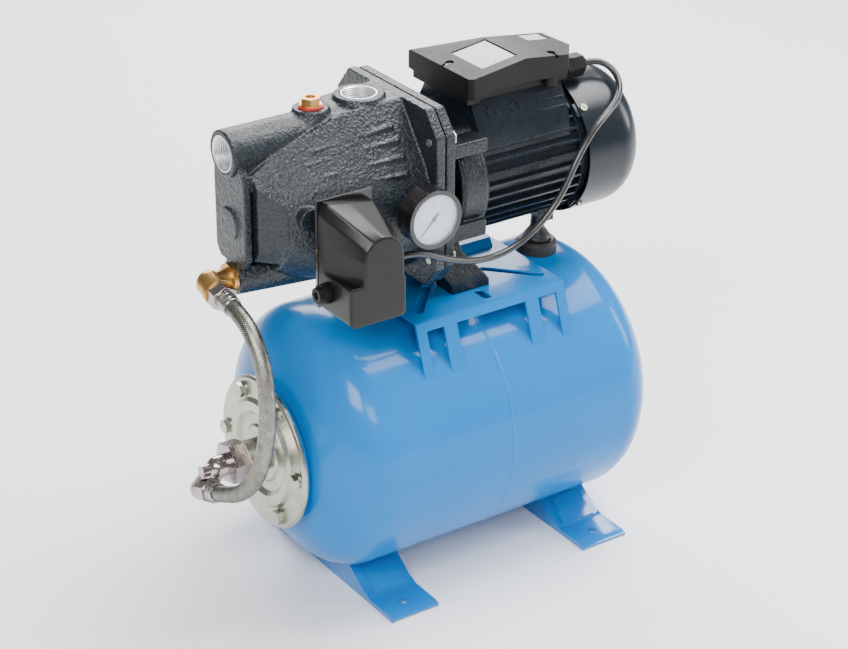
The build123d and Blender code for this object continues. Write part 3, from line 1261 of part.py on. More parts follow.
def switch_cover_solid(inset):
    """Outside of the switch cover, or its inside when inset by the shell."""
    x0, x1 = SWITCH_X0 + inset, SWITCH_X1 - inset
    front, back = SWITCH_Y_FRONT + inset, SWITCH_Y_BACK + (1 if inset else 0)
    z0, left_top, right_top = SWITCH_Z0 + inset, SWITCH_Z1 - inset, SWITCH_Z1 - 8 - inset
    step = SWITCH_SHOULDER_Z - inset
    outline = [(x0, step - 6), (x0, 410), (x0, left_top - 12), (x0 + 5, left_top), (-168, left_top - 3.2),
               (x1 - 5, right_top), (x1, right_top - 6), (x1, 410), (x1, step - 6)]
    radius = ARCH_RADIUS - inset
    angles = [180, 150, 122, 95, 65, 32, 0]
    arch = [(ARCH_X + radius * math.cos(math.radians(t)), ARCH_Z + radius * math.sin(math.radians(t)))
            for t in angles]
    arch = [(arch[0][0], step - 6)] + arch + [(arch[-1][0], step - 6)]
    hood = loft([switch_ring(SWITCH_HOOD_Y, outline), switch_ring(front, arch)], ruled=True)
    hood += extrude(switch_ring(back, outline), back - SWITCH_HOOD_Y, dir=(0, -1, 0))
    box = [(x0 + 4, z0), (x0, z0 + 4), (x0, step), (x1, step), (x1, z0 + 3), (x1 - 3, z0)]
    return hood + extrude(switch_ring(back, box), back - front, dir=(0, -1, 0))


def switch_cover():
    """Moulded cover, open at its back."""
    cover = switch_cover_solid(0) - switch_cover_solid(SWITCH_SHELL)
    cover -= rod(SWITCH_GLAND_RADIUS, (SWITCH_X1 - 6, SWITCH_CABLE_Y, SWITCH_CABLE_Z),
                 (SWITCH_X1 + 1, SWITCH_CABLE_Y, SWITCH_CABLE_Z))
    cover -= rod(SWITCH_GLAND_RADIUS, (SWITCH_X0 - 1, SWITCH_CABLE_Y, MAINS_GLAND_Z),
                 (SWITCH_X0 + 6, SWITCH_CABLE_Y, MAINS_GLAND_Z))
    return cover


def switch_base():
    """Metal base plate, diaphragm housing and threaded neck into the casing."""
    base = block(SWITCH_X0, SWITCH_X1, SWITCH_Y_BACK, SWITCH_Y_BACK + 3, SWITCH_Z0, SWITCH_Z1)
    base += rod(5.0, (SWITCH_PORT_X, SWITCH_Y_BACK + 1, AXIS_Z), (SWITCH_PORT_X, -CASING_RADIUS + 18, AXIS_Z))
    for x in (SWITCH_X0 + 14, SWITCH_X1 - 12):
        base += rod(2.2, (x, SWITCH_Y_BACK + 1, 424), (x, SWITCH_Y_BACK - 16, 424))
    for side in (-1, 1):
        x = SWITCH_PORT_X + side * 10
        base += block(x - 1.5, x + 1.5, -92, SWITCH_Y_BACK + 1, LEVER_PIVOT_Z - 5, LEVER_PIVOT_Z + 5)
    return base + lever_pin(LEVER_PIN, 12)


def lever_pin(radius, half):
    """Cylinder on the lever's pivot line."""
    return rod(radius, (SWITCH_PORT_X - half, LEVER_PIVOT_Y, LEVER_PIVOT_Z),
               (SWITCH_PORT_X + half, LEVER_PIVOT_Y, LEVER_PIVOT_Z))


def switch_lever():
    """Sprung lever that the diaphragm pushes to open the contacts."""
    y0, y1 = LEVER_PIVOT_Y - 1.5, LEVER_PIVOT_Y + 1.5
    lever = block(SWITCH_PORT_X - LEVER_HALF, SWITCH_PORT_X + LEVER_HALF, y0, y1, LEVER_PIVOT_Z, LEVER_TOP_Z)
    return lever + lever_pin(3.2, LEVER_HALF) - lever_pin(LEVER_PIN + RUNNING_FIT, 20)


def switch_glands():
    """Two cable glands in the cover: one for the motor lead, one left for the supply lead."""
    def gland(x, z, side):
        body = rod(SWITCH_GLAND_RADIUS, (x - side * SWITCH_SHELL, SWITCH_CABLE_Y, z), (x, SWITCH_CABLE_Y, z))
        body += hexagon(19, (x, SWITCH_CABLE_Y, z), (x + side * 7, SWITCH_CABLE_Y, z))
        body += rod(7.6, (x + side * 7, SWITCH_CABLE_Y, z), (x + side * 12, SWITCH_CABLE_Y, z))
        return body
    supply = gland(SWITCH_X0, MAINS_GLAND_Z, -1)
    supply -= rod(SUPPLY_BORE, (SWITCH_X0 - 13, SWITCH_CABLE_Y, MAINS_GLAND_Z),
                  (SWITCH_X0 + 4, SWITCH_CABLE_Y, MAINS_GLAND_Z))
    return Compound([gland(SWITCH_X1, SWITCH_CABLE_Z, 1).solid(), supply.solid()])


# ---- gauge ------------------------------------------------------------------------------------
def gauge_case():
    """Round case with its bezel and the threaded stem at its back."""
    back = GAUGE_FACE_Y + GAUGE_DEPTH
    case = rod(GAUGE_RADIUS, (GAUGE_X, back, GAUGE_Z), (GAUGE_X, GAUGE_FACE_Y + 5, GAUGE_Z))
    case += rod(GAUGE_RADIUS + 0.8, (GAUGE_X, GAUGE_FACE_Y + 6, GAUGE_Z), (GAUGE_X, GAUGE_FACE_Y, GAUGE_Z))
    case -= rod(DIAL_RADIUS, (GAUGE_X, DIAL_Y, GAUGE_Z), (GAUGE_X, GAUGE_FACE_Y - 1, GAUGE_Z))
    case -= rod(DIAL_RADIUS - 2, (GAUGE_X, back - 3, GAUGE_Z), (GAUGE_X, DIAL_Y - 1, GAUGE_Z))
    case += hexagon(14, (GAUGE_X, back, GAUGE_Z), (GAUGE_X, -CASING_RADIUS - 5, GAUGE_Z))
    case += rod(5.0, (GAUGE_X, -CASING_RADIUS - 5, GAUGE_Z), (GAUGE_X, -CASING_RADIUS + 8, GAUGE_Z))
    return case


def gauge_dial():
    plate = rod(DIAL_RADIUS - 0.1, (GAUGE_X, DIAL_Y, GAUGE_Z), (GAUGE_X, DIAL_Y - 0.6, GAUGE_Z))
    return plate - rod(1.0, (GAUGE_X, DIAL_Y + 1, GAUGE_Z), (GAUGE_X, DIAL_Y - 1, GAUGE_Z))


def gauge_pointer():
    """Needle with its counterweight, at zero at the lower left."""
    y0, y1 = DIAL_Y - 1.0, DIAL_Y - 1.5
    needle = prism_y([(-0.9, 0), (-0.25, 20), (0.25, 20), (0.9, 0), (1.2, -7), (-1.2, -7)], y1, y0)
    hub = rod(2.2, (0, y0 + 0.1, 0), (0, y1 - 0.3, 0))
    spindle = rod(1.0 - RUNNING_FIT, (0, DIAL_Y + 3, 0), (0, y0, 0))
    return Pos(GAUGE_X, 0, GAUGE_Z) * Rot(0, POINTER_ZERO, 0) * (needle + hub + spindle)


def gauge_lens():
    y0, y1 = GAUGE_FACE_Y + 0.4, GAUGE_FACE_Y + 1.6
    return rod(DIAL_RADIUS - 0.1, (GAUGE_X, y1, GAUGE_Z), (GAUGE_X, y0, GAUGE_Z))


# ---- fittings and hose -------------------------------------------------------------------------
def brass_elbow():
    """Brass elbow screwed into the pump's lower port against its collar."""
    face = (NOSE_X, 0, CHANNEL_Z)
    body = rod(10.5, face, BRASS_CENTRE) + Pos(*BRASS_CENTRE) * Sphere(12.5)
    body += rod(12.5, BRASS_CENTRE, along(BRASS_CENTRE, BRASS_DIR, BRASS_REACH))
    body += rod(14.0, along(BRASS_CENTRE, BRASS_DIR, BRASS_REACH - 6), along(BRASS_CENTRE, BRASS_DIR, BRASS_REACH))
    body += rod(14.5, face, (NOSE_X - 5, 0, CHANNEL_Z))
    body += rod(CHANNEL_BORE - 0.02, face, (NOSE_X + 12, 0, CHANNEL_Z))
    return body - rod(6.0, BRASS_CENTRE, (NOSE_X + 13, 0, CHANNEL_Z))


def tank_elbow():
    """Plated fitting on the tank's pipe: large hex, dropped side outlet and a plugged stub."""
    start = (PIPE_END_X - 4, 0, TANK_AXIS_Z)
    radius = TANK_FITTING_RADIUS
    body = rod(radius, start, TANK_ELBOW_CENTRE) + Pos(*TANK_ELBOW_CENTRE) * Sphere(radius)
    body += rod(radius, TANK_ELBOW_CENTRE, TANK_OUTLET_CENTRE) + Pos(*TANK_OUTLET_CENTRE) * Sphere(radius)
    body += rod(radius - 0.2, TANK_OUTLET_CENTRE, along(TANK_OUTLET_CENTRE, TANK_DIR, TANK_REACH))
    body += hexagon(38, (PIPE_END_X - 6, 0, TANK_AXIS_Z), (PIPE_END_X + 12, 0, TANK_AXIS_Z), 15)
    body -= rod(PIPE_RADIUS, (PIPE_END_X, 0, TANK_AXIS_Z), (PIPE_END_X + 13, 0, TANK_AXIS_Z))
    body -= rod(9, (PIPE_END_X - 12, 0, TANK_AXIS_Z), (PIPE_END_X + 1, 0, TANK_AXIS_Z))
    nut_space = TANK_NUT_FLATS / 2 / math.cos(math.radians(30)) + 0.3
    nut_start = along(TANK_OUTLET_CENTRE, TANK_DIR, TANK_REACH)
    body -= rod(nut_space, nut_start, along(nut_start, TANK_DIR, NUT_LENGTH + FERRULE_LENGTH))
    stub = rod(6.0, TANK_ELBOW_CENTRE, (TANK_ELBOW_X - 18, 0, TANK_AXIS_Z))
    return body + stub


def hose_ends():
    """The outlets that the hose joins: centre, direction, reach to the nut and the nut's size."""
    return [
        (BRASS_CENTRE, BRASS_DIR, BRASS_REACH, BRASS_NUT_FLATS),
        (TANK_OUTLET_CENTRE, TANK_DIR, TANK_REACH, TANK_NUT_FLATS),
    ]


def hose_nuts():
    """Union nuts at the hose's two ends."""
    nuts = []
    for centre, direction, reach, flats in hose_ends():
        start = along(centre, direction, reach)
        nuts.append(hexagon(flats, start, along(start, direction, NUT_LENGTH)).solid())
    return Compound(nuts)


def hose_ferrules():
    """Crimped sleeves between the nuts and the braid."""
    sleeves = []
    for centre, direction, reach, flats in hose_ends():
        start = along(centre, direction, reach + NUT_LENGTH)
        sleeves.append(rod(FERRULE_RADIUS, start, along(start, direction, FERRULE_LENGTH)).solid())
    return Compound(sleeves)


def tube(points, radius, label):
    """Flexible line: straight runs joined by tangent arcs as large as the runs allow."""
    places = [Vector(*p) for p in points]
    radii = []
    for before, here, after in zip(places, places[1:], places[2:]):
        shorter = min((here - before).length, (after - here).length)
        half_turn = math.radians((here - before).get_angle(after - here)) / 2
        radii.append(0.45 * shorter / math.tan(half_turn))
    path = FilletPolyline(*places, radius=radii)
    start = Plane(origin=path @ 0, z_dir=path % 0)
    solid = sweep(start * Circle(radius), path=path)
    share = solid.volume / (math.pi * radius**2 * path.length)
    print(label, "length", round(path.length, 1), "volume share", round(share, 4), [round(r, 1) for r in radii])
    return solid


def hose_route():
    """Braided hose from the pump's elbow down to the tank's fitting, bowed out in front."""
    upper_end = along(BRASS_CENTRE, BRASS_DIR, BRASS_REACH + NUT_LENGTH + FERRULE_LENGTH)
    lower_end = along(TANK_OUTLET_CENTRE, TANK_DIR, TANK_REACH + NUT_LENGTH + FERRULE_LENGTH)
    return [
        upper_end,
        along(upper_end, BRASS_DIR, 20.0),
        (-262.5, -82.7, 324.0),
        (-263.0, -98.0, 300.5),
        (-264.0, -104.0, 267.0),
        (-265.0, -102.6, 231.0),
        (-268.0, -95.0, 197.0),
        (-271.0, -78.0, 169.5),
        along(lower_end, TANK_DIR, 30.0),
        lower_end,
    ]


def cable_route():
    """Motor lead from the terminal box gland, down past the motor to the pressure switch."""
    return [
        (GLAND_END_X, GLAND_Y, GLAND_Z),
        (GLAND_END_X + 16, GLAND_Y, GLAND_Z),
        (182.0, -31.0, 479.0),
        (180.0, -47.0, 467.0),
        (165.0, -62.0, 459.0),
        (143.0, -75.0, 455.0),
        (118.0, -84.0, 445.0),
        (98.0, -88.0, 424.0),
        (84.0, -89.0, 398.0),
        (69.0, -87.0, 374.0),
        (44.0, -85.0, 352.0),
        (12.0, -86.0, 341.0),
        (-26.0, -91.0, 345.0),
        (-62.0, -96.0, 359.0),
        (SWITCH_X1 + 38, SWITCH_CABLE_Y, SWITCH_CABLE_Z),
        (SWITCH_X1 + 12, SWITCH_CABLE_Y, SWITCH_CABLE_Z),
    ]


PIECES = {
    "tank_shell_inlet": tank_shell_inlet,
    "tank_shell_air": tank_shell_air,
    "tank_membrane": tank_membrane,
    "tank_flange": tank_flange,
    "flange_bolts": flange_bolts,
    "tank_foot_inlet": lambda: tank_foot(-FOOT_X),
    "tank_foot_air": lambda: tank_foot(FOOT_X),
    "air_valve": air_valve,
    "air_valve_cap": air_valve_cap,
    "pump_bracket": pump_bracket,
    "pump_casing": pump_casing,
    "port_inserts": port_inserts,
    "check_valve_cage": check_valve_cage,
    "check_valve_poppet": check_valve_poppet,
    "priming_washer": priming_washer,
    "priming_plug": priming_plug,
    "ejector_nozzle": ejector_nozzle,
    "venturi_tube": venturi_tube,
    "diffuser": diffuser,
    "impeller": impeller,
    "shaft_seal_ring": shaft_seal_ring,
    "shaft_seal_seat": shaft_seal_seat,
    "motor_shaft": motor_shaft,
    "rotor_core": rotor_core,
    "bearing_front": lambda: bearing(FRONT_BEARING_X),
    "bearing_rear": lambda: bearing(REAR_BEARING_X),
    "cooling_fan": cooling_fan,
    "motor_bracket": motor_bracket,
    "bracket_bolts": bracket_bolts,
    "casing_bolts": casing_bolts,
    "casing_gasket": casing_gasket,
    "motor_frame": motor_frame,
    "stator_core": stator_core,
    "stator_windings": stator_windings,
    "rear_end_shield": rear_end_shield,
    "fan_cover": fan_cover,
    "fan_cover_screws": fan_cover_screws,
    "motor_foot_post": motor_foot_post,
    "motor_foot_pad": motor_foot_pad,
    "terminal_box_base": terminal_box_base,
    "terminal_box_cover": terminal_box_cover,
    "box_cover_screws": box_cover_screws,
    "box_gland": box_gland,
    "capacitor": capacitor,
    "terminal_block": terminal_block,
    "switch_base": switch_base,
    "switch_cover": switch_cover,
    "switch_lever": switch_lever,
    "switch_glands": switch_glands,
    "gauge_case": gauge_case,
    "gauge_dial": gauge_dial,
    "gauge_pointer": gauge_pointer,
    "gauge_lens": gauge_lens,
    "brass_elbow": brass_elbow,
    "tank_elbow": tank_elbow,
    "hose_nuts": hose_nuts,
    "hose_ferrules": hose_ferrules,
    "braided_hose": lambda: tube(hose_route(), HOSE_RADIUS, "hose"),
    "motor_cable": lambda: tube(cable_route(), CABLE_RADIUS, "cable"),
}

os.makedirs("parts", exist_ok=True)
for name, make in PIECES.items():
    write(name, make())
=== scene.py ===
import json
import math

import bmesh
import bpy
from mathutils import Matrix, Vector
from mathutils.noise import noise

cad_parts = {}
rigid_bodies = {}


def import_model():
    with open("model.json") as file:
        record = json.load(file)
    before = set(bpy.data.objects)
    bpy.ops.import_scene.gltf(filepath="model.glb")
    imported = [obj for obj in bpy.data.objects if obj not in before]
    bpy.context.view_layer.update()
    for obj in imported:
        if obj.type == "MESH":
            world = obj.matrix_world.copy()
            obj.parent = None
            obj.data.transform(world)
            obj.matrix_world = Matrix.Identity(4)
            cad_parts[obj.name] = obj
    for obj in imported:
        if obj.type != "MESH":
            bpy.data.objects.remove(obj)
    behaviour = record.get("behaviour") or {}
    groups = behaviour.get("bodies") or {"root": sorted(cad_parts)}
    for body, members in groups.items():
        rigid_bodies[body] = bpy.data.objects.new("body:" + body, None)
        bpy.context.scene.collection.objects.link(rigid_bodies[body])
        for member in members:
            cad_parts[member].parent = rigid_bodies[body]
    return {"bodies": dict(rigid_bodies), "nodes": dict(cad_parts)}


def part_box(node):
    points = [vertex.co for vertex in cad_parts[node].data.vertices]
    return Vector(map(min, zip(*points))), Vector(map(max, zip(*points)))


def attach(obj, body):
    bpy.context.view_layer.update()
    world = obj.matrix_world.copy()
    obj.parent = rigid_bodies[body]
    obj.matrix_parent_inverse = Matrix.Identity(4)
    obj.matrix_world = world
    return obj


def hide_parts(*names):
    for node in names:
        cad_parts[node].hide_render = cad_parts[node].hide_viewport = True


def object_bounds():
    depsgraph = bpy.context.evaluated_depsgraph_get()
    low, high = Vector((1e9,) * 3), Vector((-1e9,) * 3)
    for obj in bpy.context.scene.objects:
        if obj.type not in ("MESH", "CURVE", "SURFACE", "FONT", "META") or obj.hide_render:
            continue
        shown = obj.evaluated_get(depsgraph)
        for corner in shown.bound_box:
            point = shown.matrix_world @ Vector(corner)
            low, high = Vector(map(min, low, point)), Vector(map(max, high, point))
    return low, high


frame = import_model()
NODES = frame["nodes"]
CAD_LOW, CAD_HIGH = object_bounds()

bl_info = {
    "name": "Pump set on a pressure tank",
    "version": (1, 0, 0),
    "blender": (4, 5, 0),
    "location": "3D View > Sidebar > Pump set",
    "description": "Builds the finished surfaces and fine parts of a jet pump on its pressure tank",
    "category": "Object",
}

# lines of the object, in metres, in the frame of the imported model
TANK_AXIS_Z = 0.152
SEAM_X = -0.005
SEAM_GRAIN = 180.0
SEAM_RISE = 0.0001
PORT_Z = 0.4744
SUCTION_X = -0.244
OUTLET = Vector((-0.096, 0.0, 0.5025))
GAUGE_CENTRE = Vector((-0.0875, -0.112, 0.413))
BOX_RIDGE_X = 0.058
BOX_RIDGE_TOP = 0.5212
BOX_LEFT_SLOPE = 9.3 / 64.0
BOX_RIGHT_SLOPE = 8.6 / 68.0

CAMERA_PLACE = (-1.17619, -1.68902, 1.27890)
CAMERA_AZIMUTH = math.radians(-34.42)
CAMERA_ELEVATION = math.radians(26.92)
CAMERA_ROLL = math.radians(0.31)
LIGHT_AIM = Vector((-0.02, 0.0, 0.25))
# soft lights: name, place, width, height, power in watts
LIGHTS = (
    ("key", (-1.7, -1.2, 1.9), 0.9, 0.9, 60.0),
    ("overhead", (1.25, -0.1, 3.0), 2.0, 1.6, 190.0),
    ("front", (-1.2, -3.4, 2.6), 1.6, 1.0, 70.0),
    ("rim", (1.0, 2.3, 1.6), 2.0, 1.0, 80.0),
    ("side", (2.3, -0.9, 1.1), 0.5, 1.2, 30.0),
)
FLOOR_DROP = 0.0004
SLEEVE_LENGTH = 0.014

SCALE_START = -135.0
SCALE_SWEEP = 270.0
BAR_STEPS = 40
PSI_STEPS = 30

HOSE_ROUTE = [
    (-0.262, -0.04235, 0.34153),
    (-0.262, -0.06204, 0.33806),
    (-0.2625, -0.0827, 0.3240),
    (-0.2630, -0.0980, 0.3005),
    (-0.2640, -0.1040, 0.2670),
    (-0.2650, -0.1026, 0.2310),
    (-0.2680, -0.0950, 0.1970),
    (-0.2710, -0.0780, 0.1695),
    (-0.2740, -0.05096, 0.14842),
    (-0.2740, -0.02277, 0.13815),
]
LEAD_ROUTE = [
    (0.154, -0.020, 0.4865),
    (0.170, -0.020, 0.4865),
    (0.182, -0.031, 0.479),
    (0.180, -0.047, 0.467),
    (0.165, -0.062, 0.459),
    (0.143, -0.075, 0.455),
    (0.118, -0.084, 0.445),
    (0.098, -0.088, 0.424),
    (0.084, -0.089, 0.398),
    (0.069, -0.087, 0.374),
    (0.044, -0.085, 0.352),
    (0.012, -0.086, 0.341),
    (-0.026, -0.091, 0.345),
    (-0.062, -0.096, 0.359),
    (-0.098, -0.100, 0.378),
    (-0.124, -0.100, 0.378),
]


# ---- sizes and colours that a user may change ----------------------------------------------
class PaintSettings(bpy.types.PropertyGroup):
    """Colours of the painted and moulded surfaces."""

    tank: bpy.props.FloatVectorProperty(
        name="Tank enamel", description="Blue of the tank, the feet and the saddle",
        subtype="COLOR", size=3, min=0, max=1, default=(0.0, 0.17, 0.50))
    casting: bpy.props.FloatVectorProperty(
        name="Casting paint", description="Blue-grey of the pump casing and the motor bracket",
        subtype="COLOR", size=3, min=0, max=1, default=(0.008, 0.0135, 0.018))
    motor: bpy.props.FloatVectorProperty(
        name="Motor paint", description="Blue-black of the finned frame and the fan cover",
        subtype="COLOR", size=3, min=0, max=1, default=(0.007, 0.012, 0.017))
    moulding: bpy.props.FloatVectorProperty(
        name="Moulding", description="Black of the terminal box and the switch cover",
        subtype="COLOR", size=3, min=0, max=1, default=(0.008, 0.0075, 0.007))


class DetailSettings(bpy.types.PropertyGroup):
    """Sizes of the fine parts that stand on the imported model."""

    hose_radius: bpy.props.FloatProperty(
        name="Hose radius", description="Outside radius of the braided hose",
        subtype="DISTANCE", unit="LENGTH", default=0.0082, min=0.004, max=0.012)
    braid_ends: bpy.props.IntProperty(
        name="Braid ends", description="Bundles of wire that run each way round the hose",
        default=16, min=6, max=32)
    braid_pitch: bpy.props.FloatProperty(
        name="Braid pitch", description="Length of hose in one turn of a bundle",
        subtype="DISTANCE", unit="LENGTH", default=0.034, min=0.01, max=0.1)
    lead_radius: bpy.props.FloatProperty(
        name="Lead radius", description="Outside radius of the motor lead",
        subtype="DISTANCE", unit="LENGTH", default=0.00325, min=0.002, max=0.006)
    cast_voxel: bpy.props.FloatProperty(
        name="Casting grain", description="Size of the mesh cells that round the castings' edges",
        subtype="DISTANCE", unit="LENGTH", default=0.0011, min=0.0008, max=0.004)
    thread_pitch: bpy.props.FloatProperty(
        name="Thread pitch", description="Distance between the turns of the pipe threads",
        subtype="DISTANCE", unit="LENGTH", default=0.0023, min=0.001, max=0.004)


class StageSettings(bpy.types.PropertyGroup):
    """Floor, light and camera."""

    floor_size: bpy.props.FloatProperty(
        name="Floor size", description="Half the width of the floor",
        subtype="DISTANCE", unit="LENGTH", default=14.0, min=1, max=40)
    sky: bpy.props.FloatProperty(
        name="Surrounding light", description="Strength of the light from all round",
        default=0.3, min=0, max=5)


# ---- shader node groups ---------------------------------------------------------------------
def new_group(name, inputs, outputs):
    """Empty shader group with named sockets; returns its tree and its two end nodes."""
    tree = bpy.data.node_groups.new(name, "ShaderNodeTree")
    for label, kind, default in inputs:
        socket = tree.interface.new_socket(name=label, in_out="INPUT", socket_type=kind)
        if default is not None:
            socket.default_value = default
    for label, kind in outputs:
        tree.interface.new_socket(name=label, in_out="OUTPUT", socket_type=kind)
    return tree, tree.nodes.new("NodeGroupInput"), tree.nodes.new("NodeGroupOutput")


def noise_node(tree, vector, scale, detail=2.0, rough=0.5):
    """Noise over a vector, at a fixed or a linked scale."""
    node = tree.nodes.new("ShaderNodeTexNoise")
    node.inputs["Detail"].default_value = detail
    node.inputs["Roughness"].default_value = rough
    tree.links.new(vector, node.inputs["Vector"])
    if isinstance(scale, float):
        node.inputs["Scale"].default_value = scale
    else:
        tree.links.new(scale, node.inputs["Scale"])
    return node


def math_node(tree, operation, a, b):
    """Output of a sum or product of two numbers or sockets."""
    node = tree.nodes.new("ShaderNodeMath")
    node.operation = operation
    for socket, value in zip(node.inputs, (a, b)):
        if isinstance(value, (int, float)):
            socket.default_value = value
        else:
            tree.links.new(value, socket)
    return node.outputs[0]


def blend_value(tree, factor, low, high, start=0.0, end=1.0):
    """low to high as factor goes from start to end, clamped."""
    node = tree.nodes.new("ShaderNodeMapRange")
    for label, value in (("Value", factor), ("To Min", low), ("To Max", high)):
        if isinstance(value, (int, float)):
            node.inputs[label].default_value = value
        else:
            tree.links.new(value, node.inputs[label])
    node.inputs["From Min"].default_value = start
    node.inputs["From Max"].default_value = end
    return node


def blend_colour(tree, factor, a, b):
    """Output that goes from colour a to colour b by factor."""
    node = tree.nodes.new("ShaderNodeMix")
    node.data_type = "RGBA"
    for index, socket in ((0, factor), (6, a), (7, b)):
        tree.links.new(socket, node.inputs[index])
    return node.outputs[2]


def make_drift_group():
    """Slow colour and gloss change over a surface, as paint, plate and mouldings show."""
    tree, start, end = new_group(
        "colour_drift",
        [("Vector", "NodeSocketVector", None), ("Main", "NodeSocketColor", (0.5, 0.5, 0.5, 1)),
         ("Shade", "NodeSocketColor", (0.4, 0.4, 0.4, 1)), ("Scale", "NodeSocketFloat", 30.0),
         ("Gloss Low", "NodeSocketFloat", 0.3), ("Gloss High", "NodeSocketFloat", 0.4)],
        [("Color", "NodeSocketColor"), ("Roughness", "NodeSocketFloat")])
    vector, scale = start.outputs["Vector"], start.outputs["Scale"]
    slow = noise_node(tree, vector, scale, 3.0, 0.6)
    fine = noise_node(tree, vector, math_node(tree, "MULTIPLY", scale, 9.0), 2.0)
    spread = blend_value(tree, slow.outputs[0], 0.0, 1.0, 0.32, 0.68)
    colour = blend_colour(tree, spread.outputs[0], start.outputs["Main"], start.outputs["Shade"])
    gloss = blend_value(tree, fine.outputs[0], start.outputs["Gloss Low"], start.outputs["Gloss High"],
                        0.3, 0.7)
    tree.links.new(colour, end.inputs["Color"])
    tree.links.new(gloss.outputs[0], end.inputs["Roughness"])
    return tree


def make_cast_group():
    """Height of a sand-cast skin: rounded grains, finer grit and shallow pits."""
    tree, start, end = new_group(
        "cast_skin",
        [("Vector", "NodeSocketVector", None), ("Scale", "NodeSocketFloat", 520.0),
         ("Pits", "NodeSocketFloat", 0.35)],
        [("Height", "NodeSocketFloat")])
    vector, scale = start.outputs["Vector"], start.outputs["Scale"]
    grain = noise_node(tree, vector, scale, 3.0, 0.62)
    slow = noise_node(tree, vector, math_node(tree, "MULTIPLY", scale, 0.22), 2.0)
    cells = tree.nodes.new("ShaderNodeTexVoronoi")
    tree.links.new(vector, cells.inputs["Vector"])
    tree.links.new(math_node(tree, "MULTIPLY", scale, 0.8), cells.inputs["Scale"])
    pits = math_node(tree, "MULTIPLY", cells.outputs["Distance"], start.outputs["Pits"])
    height = math_node(tree, "ADD", math_node(tree, "ADD", grain.outputs[0], pits),
                       math_node(tree, "MULTIPLY", slow.outputs[0], 0.8))
    tree.links.new(height, end.inputs["Height"])
    return tree


def make_streak_group():
    """Height of fine lines along one axis, as on rolled sheet and turned metal."""
    tree, start, end = new_group(
        "fine_streaks",
        [("Vector", "NodeSocketVector", None), ("Stretch", "NodeSocketVector", (20.0, 900.0, 900.0))],
        [("Height", "NodeSocketFloat")])
    product = tree.nodes.new("ShaderNodeVectorMath")
    product.operation = "MULTIPLY"
    tree.links.new(start.outputs["Vector"], product.inputs[0])
    tree.links.new(start.outputs["Stretch"], product.inputs[1])
    lines = noise_node(tree, product.outputs[0], 1.0, 3.0, 0.6)
    tree.links.new(lines.outputs[0], end.inputs["Height"])
    return tree


def make_speckle_group():
    """Pale film with small dark flecks, for the blank label areas."""
    tree, start, end = new_group(
        "speckled_film",
        [("Vector", "NodeSocketVector", None), ("Film", "NodeSocketColor", (0.6, 0.6, 0.6, 1)),
         ("Fleck", "NodeSocketColor", (0.2, 0.2, 0.2, 1)), ("Scale", "NodeSocketFloat", 900.0)],
        [("Color", "NodeSocketColor"), ("Height", "NodeSocketFloat")])
    flecks = noise_node(tree, start.outputs["Vector"], start.outputs["Scale"], 4.0, 0.75)
    mask = blend_value(tree, flecks.outputs[0], 0.0, 1.0, 0.5, 0.62)
    colour = blend_colour(tree, mask.outputs[0], start.outputs["Film"], start.outputs["Fleck"])
    tree.links.new(colour, end.inputs["Color"])
    tree.links.new(flecks.outputs[0], end.inputs["Height"])
    return tree


# ---- materials ------------------------------------------------------------------------------
def start_material(name):
    """New material: its tree, its Principled shader and the object's own coordinates."""
    material = bpy.data.materials.new(name)
    if material.name != name:
        raise RuntimeError(f"the finish {name} meets another of the same name")
    material.use_nodes = True
    tree = material.node_tree
    shader = next(n for n in tree.nodes if n.type == "BSDF_PRINCIPLED")
    where = tree.nodes.new("ShaderNodeTexCoord").outputs["Object"]
    return tree, shader, where


def place_group(tree, name, vector, **values):
    """Shader group in a material, with its own values."""
    node = tree.nodes.new("ShaderNodeGroup")
    node.node_tree = bpy.data.node_groups[name]
    tree.links.new(vector, node.inputs["Vector"])
    for label, value in values.items():
        node.inputs[label.replace("_", " ")].default_value = value
    return node


def rgba(colour):
    return (*tuple(colour)[:3], 1.0)


def add_bump(tree, shader, height, depth):
    """Fine relief of a surface from a height, in metres."""
    bump = tree.nodes.new("ShaderNodeBump")
    bump.inputs["Distance"].default_value = depth
    bump.inputs["Strength"].default_value = 1.0
    tree.links.new(height, bump.inputs["Height"])
    tree.links.new(bump.outputs[0], shader.inputs["Normal"])


def set_sockets(shader, **values):
    for label, value in values.items():
        shader.inputs[label.replace("_", " ")].default_value = value


def drift_finish(name, main, shade, scale, gloss, grain=None, **sockets):
    """Colour that drifts, gloss that varies and a skin: grain is (group, its values, depth)."""
    tree, shader, where = start_material(name)
    drift = place_group(tree, "colour_drift", where, Main=rgba(main), Shade=rgba(shade), Scale=scale,
                        Gloss_Low=gloss[0], Gloss_High=gloss[1])
    tree.links.new(drift.outputs["Color"], shader.inputs["Base Color"])
    tree.links.new(drift.outputs["Roughness"], shader.inputs["Roughness"])
    if grain:
        group, values, depth = grain
        skin = place_group(tree, group, where, **values)
        add_bump(tree, shader, skin.outputs["Height"], depth)
    set_sockets(shader, **sockets)


def darker(colour, share):
    return tuple(c * share for c in tuple(colour)[:3])


